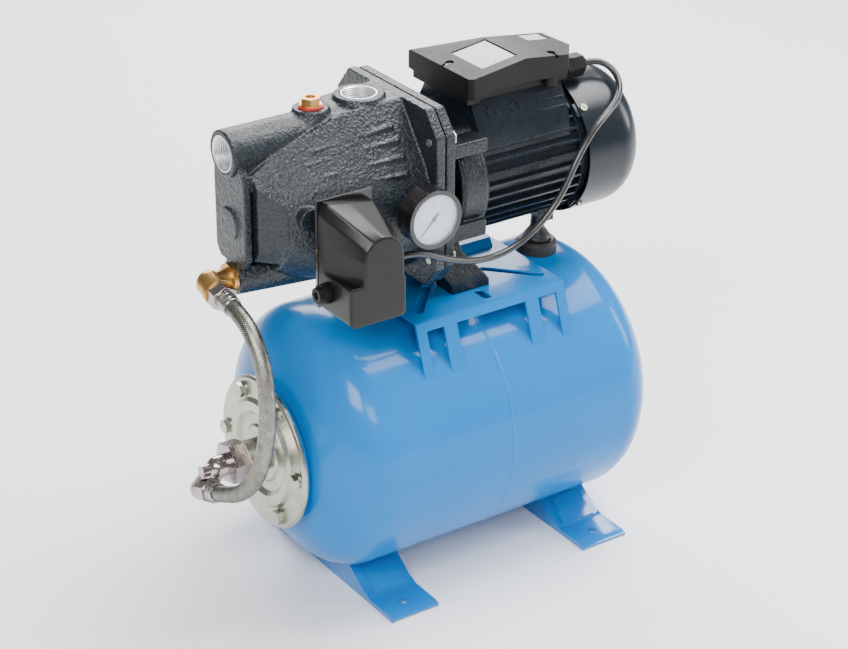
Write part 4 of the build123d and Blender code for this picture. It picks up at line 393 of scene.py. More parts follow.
def make_materials(paint):
    """All finishes of the set, named for the surface that wears them."""
    drift_finish(
        "tank_enamel", paint.tank, darker(paint.tank, 0.93), 9.0, (0.2, 0.26),
        ("cast_skin", {"Scale": 260.0, "Pits": 0.0}, 0.00002), Specular_IOR_Level=0.1, Coat_Weight=0.15,
        Coat_Roughness=0.05)
    drift_finish(
        "foot_enamel", paint.tank, darker(paint.tank, 0.9), 12.0, (0.18, 0.24),
        ("cast_skin", {"Scale": 260.0, "Pits": 0.0}, 0.00002), Specular_IOR_Level=0.3, Coat_Weight=0.7,
        Coat_Roughness=0.07)
    drift_finish(
        "casting_enamel", paint.casting, darker(paint.casting, 0.7), 40.0, (0.24, 0.34),
        ("cast_skin", {"Scale": 400.0, "Pits": 0.5}, 0.0009), Specular_IOR_Level=0.5)
    drift_finish(
        "bracket_paint", darker(paint.casting, 0.85), darker(paint.casting, 0.6), 40.0, (0.26, 0.36),
        ("cast_skin", {"Scale": 430.0, "Pits": 0.4}, 0.0008), Specular_IOR_Level=0.45)
    drift_finish(
        "frame_enamel", paint.motor, darker(paint.motor, 0.75), 22.0, (0.26, 0.34),
        ("cast_skin", {"Scale": 500.0, "Pits": 0.05}, 0.00003), Specular_IOR_Level=0.35)
    drift_finish(
        "cover_paint", paint.motor, darker(paint.motor, 0.85), 12.0, (0.27, 0.33),
        ("cast_skin", {"Scale": 300.0, "Pits": 0.0}, 0.00002), Specular_IOR_Level=0.4)
    drift_finish(
        "box_moulding", paint.moulding, darker(paint.moulding, 0.8), 30.0, (0.42, 0.5),
        ("cast_skin", {"Scale": 1500.0, "Pits": 0.1}, 0.00006), Specular_IOR_Level=0.2)
    drift_finish(
        "switch_moulding", darker(paint.moulding, 0.75), darker(paint.moulding, 0.6), 25.0, (0.32, 0.38),
        ("cast_skin", {"Scale": 1700.0, "Pits": 0.0}, 0.00003), Specular_IOR_Level=0.3)
    drift_finish(
        "gauge_enamel", (0.006, 0.006, 0.007), (0.009, 0.009, 0.01), 30.0, (0.2, 0.28),
        ("cast_skin", {"Scale": 900.0, "Pits": 0.0}, 0.00002), Coat_Weight=0.4, Coat_Roughness=0.1)
    drift_finish(
        "zinc_plate", (0.47, 0.48, 0.41), (0.36, 0.37, 0.30), 35.0, (0.26, 0.38),
        ("fine_streaks", {"Stretch": (500.0, 120.0, 120.0)}, 0.00005), Metallic=1.0)
    drift_finish(
        "insert_plate", (0.82, 0.84, 0.86), (0.66, 0.68, 0.7), 60.0, (0.28, 0.4),
        ("fine_streaks", {"Stretch": (400.0, 90.0, 400.0)}, 0.00005), Metallic=0.85)
    drift_finish(
        "nickel_plate", (0.50, 0.43, 0.41), (0.34, 0.28, 0.27), 45.0, (0.16, 0.28),
        ("cast_skin", {"Scale": 380.0, "Pits": 0.1}, 0.00009), Metallic=1.0)
    drift_finish(
        "cast_brass", (0.72, 0.45, 0.16), (0.50, 0.28, 0.09), 60.0, (0.3, 0.42),
        ("cast_skin", {"Scale": 480.0, "Pits": 0.2}, 0.00022), Metallic=1.0)
    drift_finish(
        "turned_steel", (0.52, 0.52, 0.5), (0.4, 0.4, 0.39), 60.0, (0.24, 0.36),
        ("fine_streaks", {"Stretch": (900.0, 60.0, 60.0)}, 0.00004), Metallic=1.0)
    drift_finish(
        "braid_wire", (0.42, 0.41, 0.35), (0.24, 0.23, 0.19), 120.0, (0.25, 0.4),
        ("fine_streaks", {"Stretch": (1800.0, 1800.0, 1800.0)}, 0.00006), Metallic=1.0)
    drift_finish(
        "hose_core", (0.03, 0.028, 0.024), (0.015, 0.014, 0.012), 200.0, (0.5, 0.6),
        ("cast_skin", {"Scale": 1500.0, "Pits": 0.2}, 0.00008), Metallic=0.6)
    drift_finish(
        "black_rubber", (0.014, 0.014, 0.014), (0.022, 0.022, 0.022), 60.0, (0.45, 0.6),
        ("cast_skin", {"Scale": 900.0, "Pits": 0.15}, 0.00008))
    drift_finish(
        "lead_sheath", (0.011, 0.011, 0.011), (0.018, 0.018, 0.018), 40.0, (0.3, 0.4),
        ("cast_skin", {"Scale": 800.0, "Pits": 0.0}, 0.00003), Coat_Weight=0.2, Coat_Roughness=0.25)
    drift_finish(
        "red_washer", (0.55, 0.035, 0.02), (0.4, 0.02, 0.015), 90.0, (0.4, 0.5),
        ("cast_skin", {"Scale": 900.0, "Pits": 0.1}, 0.00005))
    drift_finish(
        "inner_moulding", (0.07, 0.07, 0.07), (0.05, 0.05, 0.05), 60.0, (0.45, 0.6),
        ("cast_skin", {"Scale": 1100.0, "Pits": 0.2}, 0.00008))
    drift_finish(
        "valve_moulding", (0.42, 0.47, 0.5), (0.3, 0.35, 0.38), 60.0, (0.4, 0.5),
        ("cast_skin", {"Scale": 900.0, "Pits": 0.1}, 0.00006))
    drift_finish(
        "copper_wire", (0.50, 0.20, 0.08), (0.34, 0.12, 0.05), 90.0, (0.3, 0.45),
        ("fine_streaks", {"Stretch": (300.0, 900.0, 900.0)}, 0.0004), Metallic=0.9)
    drift_finish(
        "steel_sheets", (0.26, 0.26, 0.27), (0.18, 0.18, 0.19), 70.0, (0.35, 0.5),
        ("fine_streaks", {"Stretch": (1900.0, 8.0, 8.0)}, 0.0002), Metallic=1.0)
    drift_finish(
        "dial_paint", (0.62, 0.68, 0.76), (0.50, 0.60, 0.74), 28.0, (0.4, 0.45),
        ("cast_skin", {"Scale": 1200.0, "Pits": 0.0}, 0.00001))
    drift_finish(
        "scale_black", (0.01, 0.012, 0.02), (0.02, 0.022, 0.03), 300.0, (0.4, 0.5))
    drift_finish(
        "scale_red", (0.6, 0.05, 0.08), (0.7, 0.12, 0.14), 300.0, (0.4, 0.5))
    drift_finish(
        "capacitor_shell", (0.62, 0.62, 0.6), (0.52, 0.52, 0.5), 60.0, (0.4, 0.5),
        ("cast_skin", {"Scale": 900.0, "Pits": 0.1}, 0.00005))

    tree, shader, where = start_material("gauge_window")
    drift = place_group(tree, "colour_drift", where, Main=(1, 1, 1, 1), Shade=(0.93, 0.96, 1, 1),
                        Scale=30.0, Gloss_Low=0.02, Gloss_High=0.05)
    tree.links.new(drift.outputs["Color"], shader.inputs["Base Color"])
    tree.links.new(drift.outputs["Roughness"], shader.inputs["Roughness"])
    set_sockets(shader, Alpha=0.10, Coat_Weight=0.5, Coat_Roughness=0.02)

    tree, shader, where = start_material("blank_film")
    speckle = place_group(tree, "speckled_film", where, Film=(0.46, 0.47, 0.47, 1),
                          Fleck=(0.14, 0.14, 0.15, 1), Scale=1100.0)
    tree.links.new(speckle.outputs["Color"], shader.inputs["Base Color"])
    add_bump(tree, shader, speckle.outputs["Height"], 0.00006)
    set_sockets(shader, Roughness=0.38, Metallic=0.25)

    tree, shader, where = start_material("studio_floor")
    drift = place_group(tree, "colour_drift", where, Main=(0.93, 0.935, 0.94, 1),
                        Shade=(0.92, 0.925, 0.93, 1), Scale=1.2, Gloss_Low=0.6, Gloss_High=0.7)
    tree.links.new(drift.outputs["Color"], shader.inputs["Base Color"])
    tree.links.new(drift.outputs["Roughness"], shader.inputs["Roughness"])


NODE_FINISH = {
    "tank_enamel": ["tank_shell_inlet", "tank_shell_air", "tank_foot_inlet", "tank_foot_air", "pump_bracket"],
    "black_rubber": ["tank_membrane", "motor_foot_pad", "casing_gasket", "air_valve_cap"],
    "zinc_plate": ["tank_flange", "flange_bolts", "bracket_bolts", "casing_bolts", "fan_cover_screws",
                   "box_cover_screws", "switch_base", "switch_lever"],
    "insert_plate": ["port_inserts"],
    "casting_enamel": ["pump_casing"],
    "bracket_paint": ["motor_bracket", "motor_foot_post"],
    "frame_enamel": ["motor_frame", "rear_end_shield"],
    "cover_paint": ["fan_cover"],
    "box_moulding": ["terminal_box_base", "terminal_box_cover", "box_gland", "switch_glands"],
    "switch_moulding": ["switch_cover"],
    "gauge_enamel": ["gauge_case", "gauge_pointer"],
    "dial_paint": ["gauge_dial"],
    "gauge_window": ["gauge_lens"],
    "cast_brass": ["brass_elbow", "priming_plug", "air_valve", "ejector_nozzle", "impeller"],
    "nickel_plate": ["tank_elbow", "hose_nuts"],
    "turned_steel": ["hose_ferrules", "motor_shaft", "bearing_front", "bearing_rear", "shaft_seal_ring"],
    "braid_wire": ["braided_hose"],
    "lead_sheath": ["motor_cable"],
    "red_washer": ["priming_washer"],
    "inner_moulding": ["venturi_tube", "diffuser", "shaft_seal_seat", "cooling_fan", "terminal_block"],
    "valve_moulding": ["check_valve_cage", "check_valve_poppet"],
    "copper_wire": ["stator_windings"],
    "steel_sheets": ["stator_core", "rotor_core"],
    "capacitor_shell": ["capacitor"],
}


# bolts, fittings and small parts: piece, node, finish, slot, edge width, edge segments
# and, where it is given, the least angle in degrees of an edge that gets rounded
HARDWARE = (
    ("flange_pressed", "tank_flange", "zinc_plate", "zinc", 0.0006, 2, 28.0),
    ("flange_bolts_plated", "flange_bolts", "zinc_plate", "zinc", 0.0005, 2),
    ("bracket_bolts_plated", "bracket_bolts", "zinc_plate", "zinc", 0.0005, 2),
    ("casing_bolts_plated", "casing_bolts", "zinc_plate", "zinc", 0.0005, 2),
    ("cover_screws_plated", "fan_cover_screws", "zinc_plate", "zinc", 0.0003, 2),
    ("box_screws_plated", "box_cover_screws", "zinc_plate", "zinc", 0.0003, 2),
    ("elbow_brass", "brass_elbow", "cast_brass", "brass", 0.0009, 3),
    ("elbow_nickel", "tank_elbow", "nickel_plate", "nickel", 0.0009, 3),
    ("plug_brass", "priming_plug", "cast_brass", "brass", 0.0005, 2),
    ("pad_rubber", "motor_foot_pad", "black_rubber", "rubber", 0.0012, 3),
    ("valve_cap_moulded", "air_valve_cap", "black_rubber", "rubber", 0.0006, 2),
)


# ---- making pieces --------------------------------------------------------------------------
def body_of_node(node):
    for body, empty in frame["bodies"].items():
        if NODES[node].parent == empty:
            return body
    raise RuntimeError(f"no body holds {node}")


def put(obj, material, node=None, body="set", smooth=None):
    """Gives a finished piece its material and body, and hides the node that it stands for."""
    obj.data.materials.clear()
    obj.data.materials.append(bpy.data.materials[material])
    if smooth is not None:
        obj.data.polygons.foreach_set("use_smooth", [True] * len(obj.data.polygons))
        if smooth < 179:
            obj.data.set_sharp_from_angle(angle=math.radians(smooth))
    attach(obj, body_of_node(node) if node else body)
    if node:
        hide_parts(node)
    return obj


def object_from(name, mesh):
    obj = bpy.data.objects.new(name, mesh)
    bpy.context.scene.collection.objects.link(obj)
    return obj


def welded_copy(name, node, flat=True):
    """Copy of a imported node's mesh with its seams joined and its flat areas made whole."""
    mesh = NODES[node].data.copy()
    bm = bmesh.new()
    bm.from_mesh(mesh)
    bmesh.ops.remove_doubles(bm, verts=bm.verts, dist=2e-6)
    if flat:
        bmesh.ops.dissolve_limit(bm, angle_limit=math.radians(0.6), verts=bm.verts, edges=bm.edges)
    bm.to_mesh(mesh)
    bm.free()
    if "custom_normal" in mesh.attributes:
        mesh.attributes.remove(mesh.attributes["custom_normal"])
    return object_from(name, mesh)


def apply_modifiers(obj):
    depsgraph = bpy.context.evaluated_depsgraph_get()
    mesh = bpy.data.meshes.new_from_object(obj.evaluated_get(depsgraph), depsgraph=depsgraph)
    obj.modifiers.clear()
    obj.data = mesh
    return obj


def cut_away(obj, cutters):
    """Takes solid cutters out of a piece."""
    for cutter in cutters:
        modifier = obj.modifiers.new("cut", "BOOLEAN")
        modifier.operation = "DIFFERENCE"
        modifier.solver = "EXACT"
        modifier.object = cutter
        apply_modifiers(obj)
        bpy.data.objects.remove(cutter)
    return obj


def round_edges(obj, width, segments=2, angle=32.0):
    modifier = obj.modifiers.new("round", "BEVEL")
    modifier.width = width
    modifier.segments = segments
    modifier.limit_method = "ANGLE"
    modifier.angle_limit = math.radians(angle)
    modifier.use_clamp_overlap = True
    modifier.miter_outer = "MITER_ARC"
    level = obj.modifiers.new("level", "WEIGHTED_NORMAL")
    level.keep_sharp = True
    level.weight = 80
    obj.data.polygons.foreach_set("use_smooth", [True] * len(obj.data.polygons))
    return apply_modifiers(obj)


def machined(name, node, material, slot, width, segments=2, angle=32.0, cutters=()):
    """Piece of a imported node's shape with small rounded edges."""
    obj = welded_copy(name, node)
    cut_away(obj, cutters)
    round_edges(obj, width, segments, angle)
    return put(obj, material, node)


def cast(name, node, material, voxel, passes):
    """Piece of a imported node's shape with the soft edges and filled corners of a casting."""
    obj = welded_copy(name, node, flat=False)
    modifier = obj.modifiers.new("skin", "REMESH")
    modifier.mode = "VOXEL"
    modifier.voxel_size = voxel
    modifier.adaptivity = 0.0
    relax = obj.modifiers.new("relax", "SMOOTH")
    relax.factor = 0.5
    relax.iterations = passes
    apply_modifiers(obj)
    return put(obj, material, node, smooth=180)


def lathe(name, profile, origin, axis, steps=96):
    """Mesh turned about a line: profile is a loop of (distance along the line, radius) points."""
    along = Vector(axis).normalized()
    across = along.orthogonal().normalized()
    other = along.cross(across)
    verts, faces = [], []
    count = len(profile) - 1
    for i in range(steps):
        turn = 2 * math.pi * i / steps
        out = across * math.cos(turn) + other * math.sin(turn)
        verts += [Vector(origin) + along * d + out * r for d, r in profile[:count]]
    for i in range(steps):
        a, b = i * count, (i + 1) % steps * count
        for j in range(count):
            k = (j + 1) % count
            faces.append((a + j, a + k, b + k, b + j))
    mesh = bpy.data.meshes.new(name)
    mesh.from_pydata([tuple(v) for v in verts], [], faces)
    bm = bmesh.new()
    bm.from_mesh(mesh)
    bmesh.ops.recalc_face_normals(bm, faces=bm.faces)
    bm.to_mesh(mesh)
    bm.free()
    return object_from(name, mesh)


def slab(name, corners, thick, rounding=0.0):
    """Flat plate from its top corners, given in order, with its edges rounded."""
    points = [Vector(c) for c in corners]
    normal = (points[1] - points[0]).cross(points[2] - points[0]).normalized()
    count = len(points)
    verts = [tuple(p) for p in points] + [tuple(p - normal * thick) for p in points]
    faces = [tuple(range(count)), tuple(reversed(range(count, 2 * count)))]
    faces += [(i, i + count, (i + 1) % count + count, (i + 1) % count) for i in range(count)]
    mesh = bpy.data.meshes.new(name)
    mesh.from_pydata(verts, [], faces)
    obj = object_from(name, mesh)
    if rounding:
        round_edges(obj, rounding, 3)
    return obj


def join(name, objects):
    """One object from several."""
    bm = bmesh.new()
    for obj in objects:
        bm.from_mesh(obj.data)
    mesh = bpy.data.meshes.new(name)
    bm.to_mesh(mesh)
    bm.free()
    for obj in objects:
        bpy.data.objects.remove(obj)
    return object_from(name, mesh)


def box_top(x, y, lift=0.0):
    """Point on the terminal box's bent top."""
    slope = BOX_LEFT_SLOPE if x < BOX_RIDGE_X else BOX_RIGHT_SLOPE
    return (x, y, BOX_RIDGE_TOP - abs(x - BOX_RIDGE_X) * slope + lift)


def line_curve(name, route, radius):
    """Smooth tube on a NURBS line."""
    curve = bpy.data.curves.new(name, "CURVE")
    curve.dimensions = "3D"
    spline = curve.splines.new("NURBS")
    spline.points.add(len(route) - 1)
    for point, place in zip(spline.points, route):
        point.co = (*place, 1.0)
    spline.order_u = 3
    spline.use_endpoint_u = True
    spline.resolution_u = 14
    curve.bevel_depth = radius
    curve.bevel_resolution = 8
    curve.use_fill_caps = True
    return object_from(name, curve)


def line_points(obj):
    """Points along a curve's own line, as Blender draws it."""
    bare = obj.copy()
    bare.data = obj.data.copy()
    bare.data.bevel_depth = 0.0
    bpy.context.scene.collection.objects.link(bare)
    depsgraph = bpy.context.evaluated_depsgraph_get()
    mesh = bpy.data.meshes.new_from_object(bare.evaluated_get(depsgraph), depsgraph=depsgraph)
    points = [v.co.copy() for v in mesh.vertices]
    bpy.data.objects.remove(bare)
    return points


def even_steps(points, step):
    """Places at equal distances along a line of points, with the direction at each."""
    lengths = [0.0]
    for a, b in zip(points, points[1:]):
        lengths.append(lengths[-1] + (b - a).length)
    count = int(lengths[-1] / step)
    places, index = [], 0
    for i in range(count + 1):
        target = lengths[-1] * i / count
        while index < len(points) - 2 and lengths[index + 1] < target:
            index += 1
        span = max(lengths[index + 1] - lengths[index], 1e-9)
        places.append(points[index].lerp(points[index + 1], (target - lengths[index]) / span))
    return places, lengths[-1]


def side_frames(places):
    """Two side directions at each place, carried along without twist."""
    frames = []
    heading = (places[1] - places[0]).normalized()
    across = heading.orthogonal().normalized()
    for i, _ in enumerate(places):
        nxt = places[min(i + 1, len(places) - 1)]
        prev = places[max(i - 1, 0)]
        heading = (nxt - prev).normalized()
        across = (across - heading * across.dot(heading)).normalized()
        frames.append((heading, across, heading.cross(across)))
    return frames


# ---- operators ------------------------------------------------------------------------------
class PUMP_OT_materials(bpy.types.Operator):
    """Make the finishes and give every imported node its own"""

    bl_idname = "pump.materials"
    bl_label = "Finishes"

    def execute(self, context):
        make_drift_group()
        make_cast_group()
        make_streak_group()
        make_speckle_group()
        make_materials(context.scene.pump_paint)
        for finish, nodes in NODE_FINISH.items():
            for node in nodes:
                NODES[node].data.materials.clear()
                NODES[node].data.materials.append(bpy.data.materials[finish])
        return {"FINISHED"}


class PUMP_OT_stage(bpy.types.Operator):
    """Set up the camera, the pale floor and the soft studio light"""

    bl_idname = "pump.stage"
    bl_label = "Stage"

    def execute(self, context):
        scene, settings = context.scene, context.scene.pump_stage
        level = math.cos(CAMERA_ELEVATION)
        back = Vector((math.sin(CAMERA_AZIMUTH) * level, -math.cos(CAMERA_AZIMUTH) * level,
                       math.sin(CAMERA_ELEVATION)))
        right = Vector((math.cos(CAMERA_AZIMUTH), math.sin(CAMERA_AZIMUTH), 0.0))
        up = back.cross(right)
        right = right * math.cos(CAMERA_ROLL) + up * math.sin(CAMERA_ROLL)
        up = back.cross(right)
        data = bpy.data.cameras.new("camera")
        data.lens, data.sensor_width = 97.32, 36.0
        data.shift_x, data.shift_y = -0.0022, -0.0017
        camera = bpy.data.objects.new("camera", data)
        turn = Matrix((right, up, back)).transposed().to_4x4()
        camera.matrix_world = Matrix.Translation(CAMERA_PLACE) @ turn
        scene.collection.objects.link(camera)
        scene.camera = camera

        world = bpy.data.worlds.new("studio")
        world.use_nodes = True
        sky = world.node_tree.nodes["Background"]
        sky.inputs["Color"].default_value = (0.93, 0.96, 1.0, 1.0)
        sky.inputs["Strength"].default_value = settings.sky
        scene.world = world
        for name, place, width, height, power in LIGHTS:
            lamp = bpy.data.lights.new(name, "AREA")
            lamp.shape = "RECTANGLE"
            lamp.size, lamp.size_y, lamp.energy = width, height, power
            obj = bpy.data.objects.new(name, lamp)
            obj.location = place
            obj.rotation_mode = "QUATERNION"
            obj.rotation_quaternion = (LIGHT_AIM - Vector(place)).to_track_quat("-Z", "Y")
            scene.collection.objects.link(obj)

        half = settings.floor_size
        mesh = bpy.data.meshes.new("floor")
        bm = bmesh.new()
        bmesh.ops.create_grid(bm, x_segments=8, y_segments=8, size=half)
        bm.to_mesh(mesh)
        bm.free()
        floor = object_from("floor", mesh)
        floor.location = (0.0, 0.0, -FLOOR_DROP)
        floor.data.materials.append(bpy.data.materials["studio_floor"])
        return {"FINISHED"}


class PUMP_OT_hose(bpy.types.Operator):
    """Braided hose between the pump and the tank: core, woven wire, sleeves and nuts"""

    bl_idname = "pump.hose"
    bl_label = "Braided hose"

    def execute(self, context):
        detail = context.scene.pump_detail
        radius = detail.hose_radius - 0.00035
        hose = line_curve("hose_core", HOSE_ROUTE, radius)
        points = line_points(hose)
        places, length = even_steps(points, 0.0007)
        frames = side_frames(places)
        step = length / (len(places) - 1)
        ends = detail.braid_ends
        half = math.pi * detail.hose_radius / ends * 0.40
        verts, faces = [], []
        for hand in (1, -1):
            for k in range(ends):
                base = len(verts)
                for i, place in enumerate(places):
                    turn = 2 * math.pi * (k / ends + hand * i * step / detail.braid_pitch)
                    lap = 2 * math.pi * i * step / detail.braid_pitch * ends
                    lift = 0.00013 * hand * math.sin(lap + math.pi * (k % 2))
                    heading, across, other = frames[i]
                    out = across * math.cos(turn) + other * math.sin(turn)
                    side = (-across * math.sin(turn) + other * math.cos(turn))
                    centre = place + out * (radius + 0.00016 + lift)
                    for share, drop in ((-1, 0.00008), (-0.4, 0.0), (0.4, 0.0), (1, 0.00008)):
                        verts.append(tuple(centre + side * half * share - out * drop))
                for i in range(len(places) - 1):
                    for j in range(3):
                        a = base + i * 4 + j
                        faces.append((a, a + 1, a + 5, a + 4))
        mesh = bpy.data.meshes.new("hose_braid")
        mesh.from_pydata(verts, [], faces)
        braid = object_from("hose_braid", mesh)
        put(braid, "braid_wire", smooth=180)
        hose.data.materials.append(bpy.data.materials["hose_core"])
        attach(hose, "set")
        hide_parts("braided_hose")
        nuts = machined("hose_nuts_plated", "hose_nuts", "nickel_plate", "nickel", 0.0006, 3)
        sleeve_profile = [
            (0.0, 0.0086), (0.0, 0.0093), (0.0006, 0.0096), (0.003, 0.0096), (0.0038, 0.0090),
            (0.0050, 0.0090), (0.0058, 0.0096), (0.0088, 0.0096), (0.0096, 0.0091), (0.0108, 0.0091),
            (0.0116, 0.0096), (0.0134, 0.0096), (SLEEVE_LENGTH, 0.0092), (SLEEVE_LENGTH, 0.0082),
            (0.0, 0.0082), (0.0, 0.0086),
        ]
        sleeves = [
            lathe("hose_sleeve", sleeve_profile, Vector(end) - Vector(heading) * SLEEVE_LENGTH, heading)
            for end, heading in (
                (HOSE_ROUTE[0], (Vector(HOSE_ROUTE[1]) - Vector(HOSE_ROUTE[0])).normalized()),
                (HOSE_ROUTE[-1], (Vector(HOSE_ROUTE[-2]) - Vector(HOSE_ROUTE[-1])).normalized()),
            )
        ]
        sleeve = join("hose_sleeves", sleeves)
        put(sleeve, "turned_steel", "hose_ferrules", smooth=40)
        return {"FINISHED"}


class PUMP_OT_lead(bpy.types.Operator):
    """Motor lead from the terminal box to the pressure switch"""

    bl_idname = "pump.lead"
    bl_label = "Motor lead"

    def execute(self, context):
        detail = context.scene.pump_detail
        lead = line_curve("motor_lead", LEAD_ROUTE, detail.lead_radius)
        lead.data.materials.append(bpy.data.materials["lead_sheath"])
        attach(lead, "set")
        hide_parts("motor_cable")
        return {"FINISHED"}


class PUMP_OT_castings(bpy.types.Operator):
    """Pump casing, motor bracket and motor post with the soft edges of castings"""

    bl_idname = "pump.castings"
    bl_label = "Castings"

    def execute(self, context):
        voxel = context.scene.pump_detail.cast_voxel
        cast("casing_cast", "pump_casing", "casting_enamel", voxel, 4)
        cast("bracket_cast", "motor_bracket", "bracket_paint", voxel, 5)
        cast("post_cast", "motor_foot_post", "bracket_paint", voxel, 4)
        return {"FINISHED"}


class PUMP_OT_sheet(bpy.types.Operator):
    """Feet and saddle of pressed sheet, and the tank's seam"""

    bl_idname = "pump.sheet"
    bl_label = "Pressed sheet"

    def execute(self, context):
        machined("foot_inlet_pressed", "tank_foot_inlet", "foot_enamel", "tank_paint", 0.0012, 3)
        machined("foot_air_pressed", "tank_foot_air", "foot_enamel", "tank_paint", 0.0012, 3)
        machined("saddle_pressed", "pump_bracket", "tank_enamel", "tank_paint", 0.0007, 3)
        seam = lathe(
            "tank_seam",
            [(-0.0026, 0.1348), (-0.0016, 0.1352), (-0.0004, 0.1354), (0.0008, 0.1353), (0.002, 0.1350),
             (0.0026, 0.1347), (-0.0026, 0.1348)],
            (SEAM_X, 0.0, TANK_AXIS_Z), (1, 0, 0), 240)
        for vertex in seam.data.vertices:
            rise = noise(vertex.co * SEAM_GRAIN) * SEAM_RISE
            out = Vector((0.0, vertex.co.y, vertex.co.z - TANK_AXIS_Z)).normalized()
            vertex.co = vertex.co + out * rise
            vertex.co.y = min(vertex.co.y, CAD_HIGH[1])
        put(seam, "tank_enamel", smooth=180)
        return {"FINISHED"}


class PUMP_OT_hardware(bpy.types.Operator):
    """Bolts, screws, flange, fittings and foot pad with rounded edges"""

    bl_idname = "pump.hardware"
    bl_label = "Hardware"

    def execute(self, context):
        for row in HARDWARE:
            machined(*row)
        return {"FINISHED"}


class PUMP_OT_threads(bpy.types.Operator):
    """Threaded port inserts and the thread on the tank's pipe"""

    bl_idname = "pump.threads"
    bl_label = "Threads"

    def execute(self, context):
        pitch = context.scene.pump_detail.thread_pitch
        depth, bore, outside, length = 0.00085, 0.01515, 0.0175, 0.018
        profile = [(0.0, outside), (0.0, bore + 0.0012), (-0.0008, bore + 0.0002)]
        place = 0.0008
        while place + pitch < length:
            profile += [(-place - pitch * 0.1, bore), (-place - pitch * 0.45, bore + depth),
                        (-place - pitch * 0.6, bore + depth), (-place - pitch * 0.95, bore)]
            place += pitch
        profile += [(-length, bore), (-length, outside), (0.0, outside)]
        inserts = [
            lathe("insert", profile, OUTLET, (0, 0, 1), 120),
            lathe("insert", profile, (SUCTION_X, 0.0, PORT_Z), (-1, 0, 0), 120),
        ]
        put(join("port_inserts_threaded", inserts), "insert_plate", "port_inserts", smooth=35)
        profile, place = [(0.0, 0.0163)], 0.0
        while place + pitch < 0.0205:
            profile += [(-place - pitch * 0.3, 0.0163), (-place - pitch * 0.5, 0.0171),
                        (-place - pitch * 0.65, 0.0171), (-place - pitch * 0.85, 0.0163)]
            place += pitch
        profile += [(-0.0205, 0.0163), (-0.0205, 0.0158), (0.0, 0.0158), (0.0, 0.0163)]
        thread = lathe("pipe_thread", profile, (-0.2135, 0.0, TANK_AXIS_Z), (1, 0, 0), 120)
        put(thread, "zinc_plate", smooth=35)
        return {"FINISHED"}


class PUMP_OT_motor(bpy.types.Operator):
    """Finned frame, end shield and fan cover"""

    bl_idname = "pump.motor"
    bl_label = "Motor"

    def execute(self, context):
        machined("frame_finned", "motor_frame", "frame_enamel", "motor_paint", 0.0006, 2)
        machined("end_shield_painted", "rear_end_shield", "frame_enamel", "motor_paint", 0.0005, 2)
        machined("fan_cover_pressed", "fan_cover", "cover_paint", "motor_paint", 0.0005, 2, 40.0)
        return {"FINISHED"}


class PUMP_OT_terminal_box(bpy.types.Operator):
    """Terminal box with its sunk label areas, blank films, base and gland"""

    bl_idname = "pump.terminal_box"
    bl_label = "Terminal box"

    def execute(self, context):
        big = [(0.0160, -0.0405), (0.0562, -0.0405), (0.0562, 0.0115), (0.0160, 0.0115)]
        small = [(0.097, -0.004), (0.123, -0.004), (0.123, 0.0155), (0.097, 0.0155)]
        cutters = [slab("cut", [box_top(x, y, 0.002) for x, y in area], 0.0032) for area in (big, small)]
        notches = (((-0.0065, -0.0072), (0.0032, -0.0040)), ((0.0934, -0.0545), (0.0966, -0.0435)))
        for (x0, y0), (x1, y1) in notches:
            cutters.append(slab("cut", [box_top(x0, y0, 0.003), box_top(x1, y0, 0.003),
                                        box_top(x1, y1, 0.003), box_top(x0, y1, 0.003)], 0.0062))
        machined("box_cover_moulded", "terminal_box_cover", "box_moulding", "box_plastic", 0.0012, 3, 25.0,
                 cutters)
        machined("box_base_moulded", "terminal_box_base", "box_moulding", "box_plastic", 0.0006, 2)
        machined("box_gland_moulded", "box_gland", "box_moulding", "box_plastic", 0.0006, 2)
        for name, area in (("label_large", big), ("label_small", small)):
            (x0, y0), (x1, _), (_, y1), _ = area
            inner = [(x0 + 0.0008, y0 + 0.0008), (x1 - 0.0008, y0 + 0.0008),
                     (x1 - 0.0008, y1 - 0.0008), (x0 + 0.0008, y1 - 0.0008)]
            film = slab(name, [box_top(x, y, -0.0008) for x, y in inner], 0.0005, 0.0002)
            put(film, "blank_film")
        return {"FINISHED"}


class PUMP_OT_switch(bpy.types.Operator):
    """Pressure switch cover with its raised ring, and its glands"""

    bl_idname = "pump.switch"
    bl_label = "Pressure switch"

    def execute(self, context):
        cast("switch_cover_moulded", "switch_cover", "switch_moulding", 0.0009, 14)
        trim = slab("cut", [(-0.1690, -0.0955, 0.4433), (-0.1300, -0.0955, 0.4353),
                            (-0.1300, -0.0955, 0.4600), (-0.1690, -0.0955, 0.4600)], -0.02)
        machined("switch_base_dark", "switch_base", "gauge_enamel", "zinc", 0.0004, 2, 32.0, [trim])
        machined("switch_glands_moulded", "switch_glands", "box_moulding", "box_plastic", 0.0007, 2)
        ring = lathe(
            "switch_ring",
            [(0.0, 0.0062), (0.0, 0.0065), (-0.0004, 0.0068), (-0.0004, 0.0076), (0.0, 0.0079),
             (0.0003, 0.0079), (0.0003, 0.0062), (0.0, 0.0062)],
            (-0.1595, -0.1396, 0.402), (0, 1, 0), 72)
        put(ring, "switch_moulding", smooth=40)
        return {"FINISHED"}


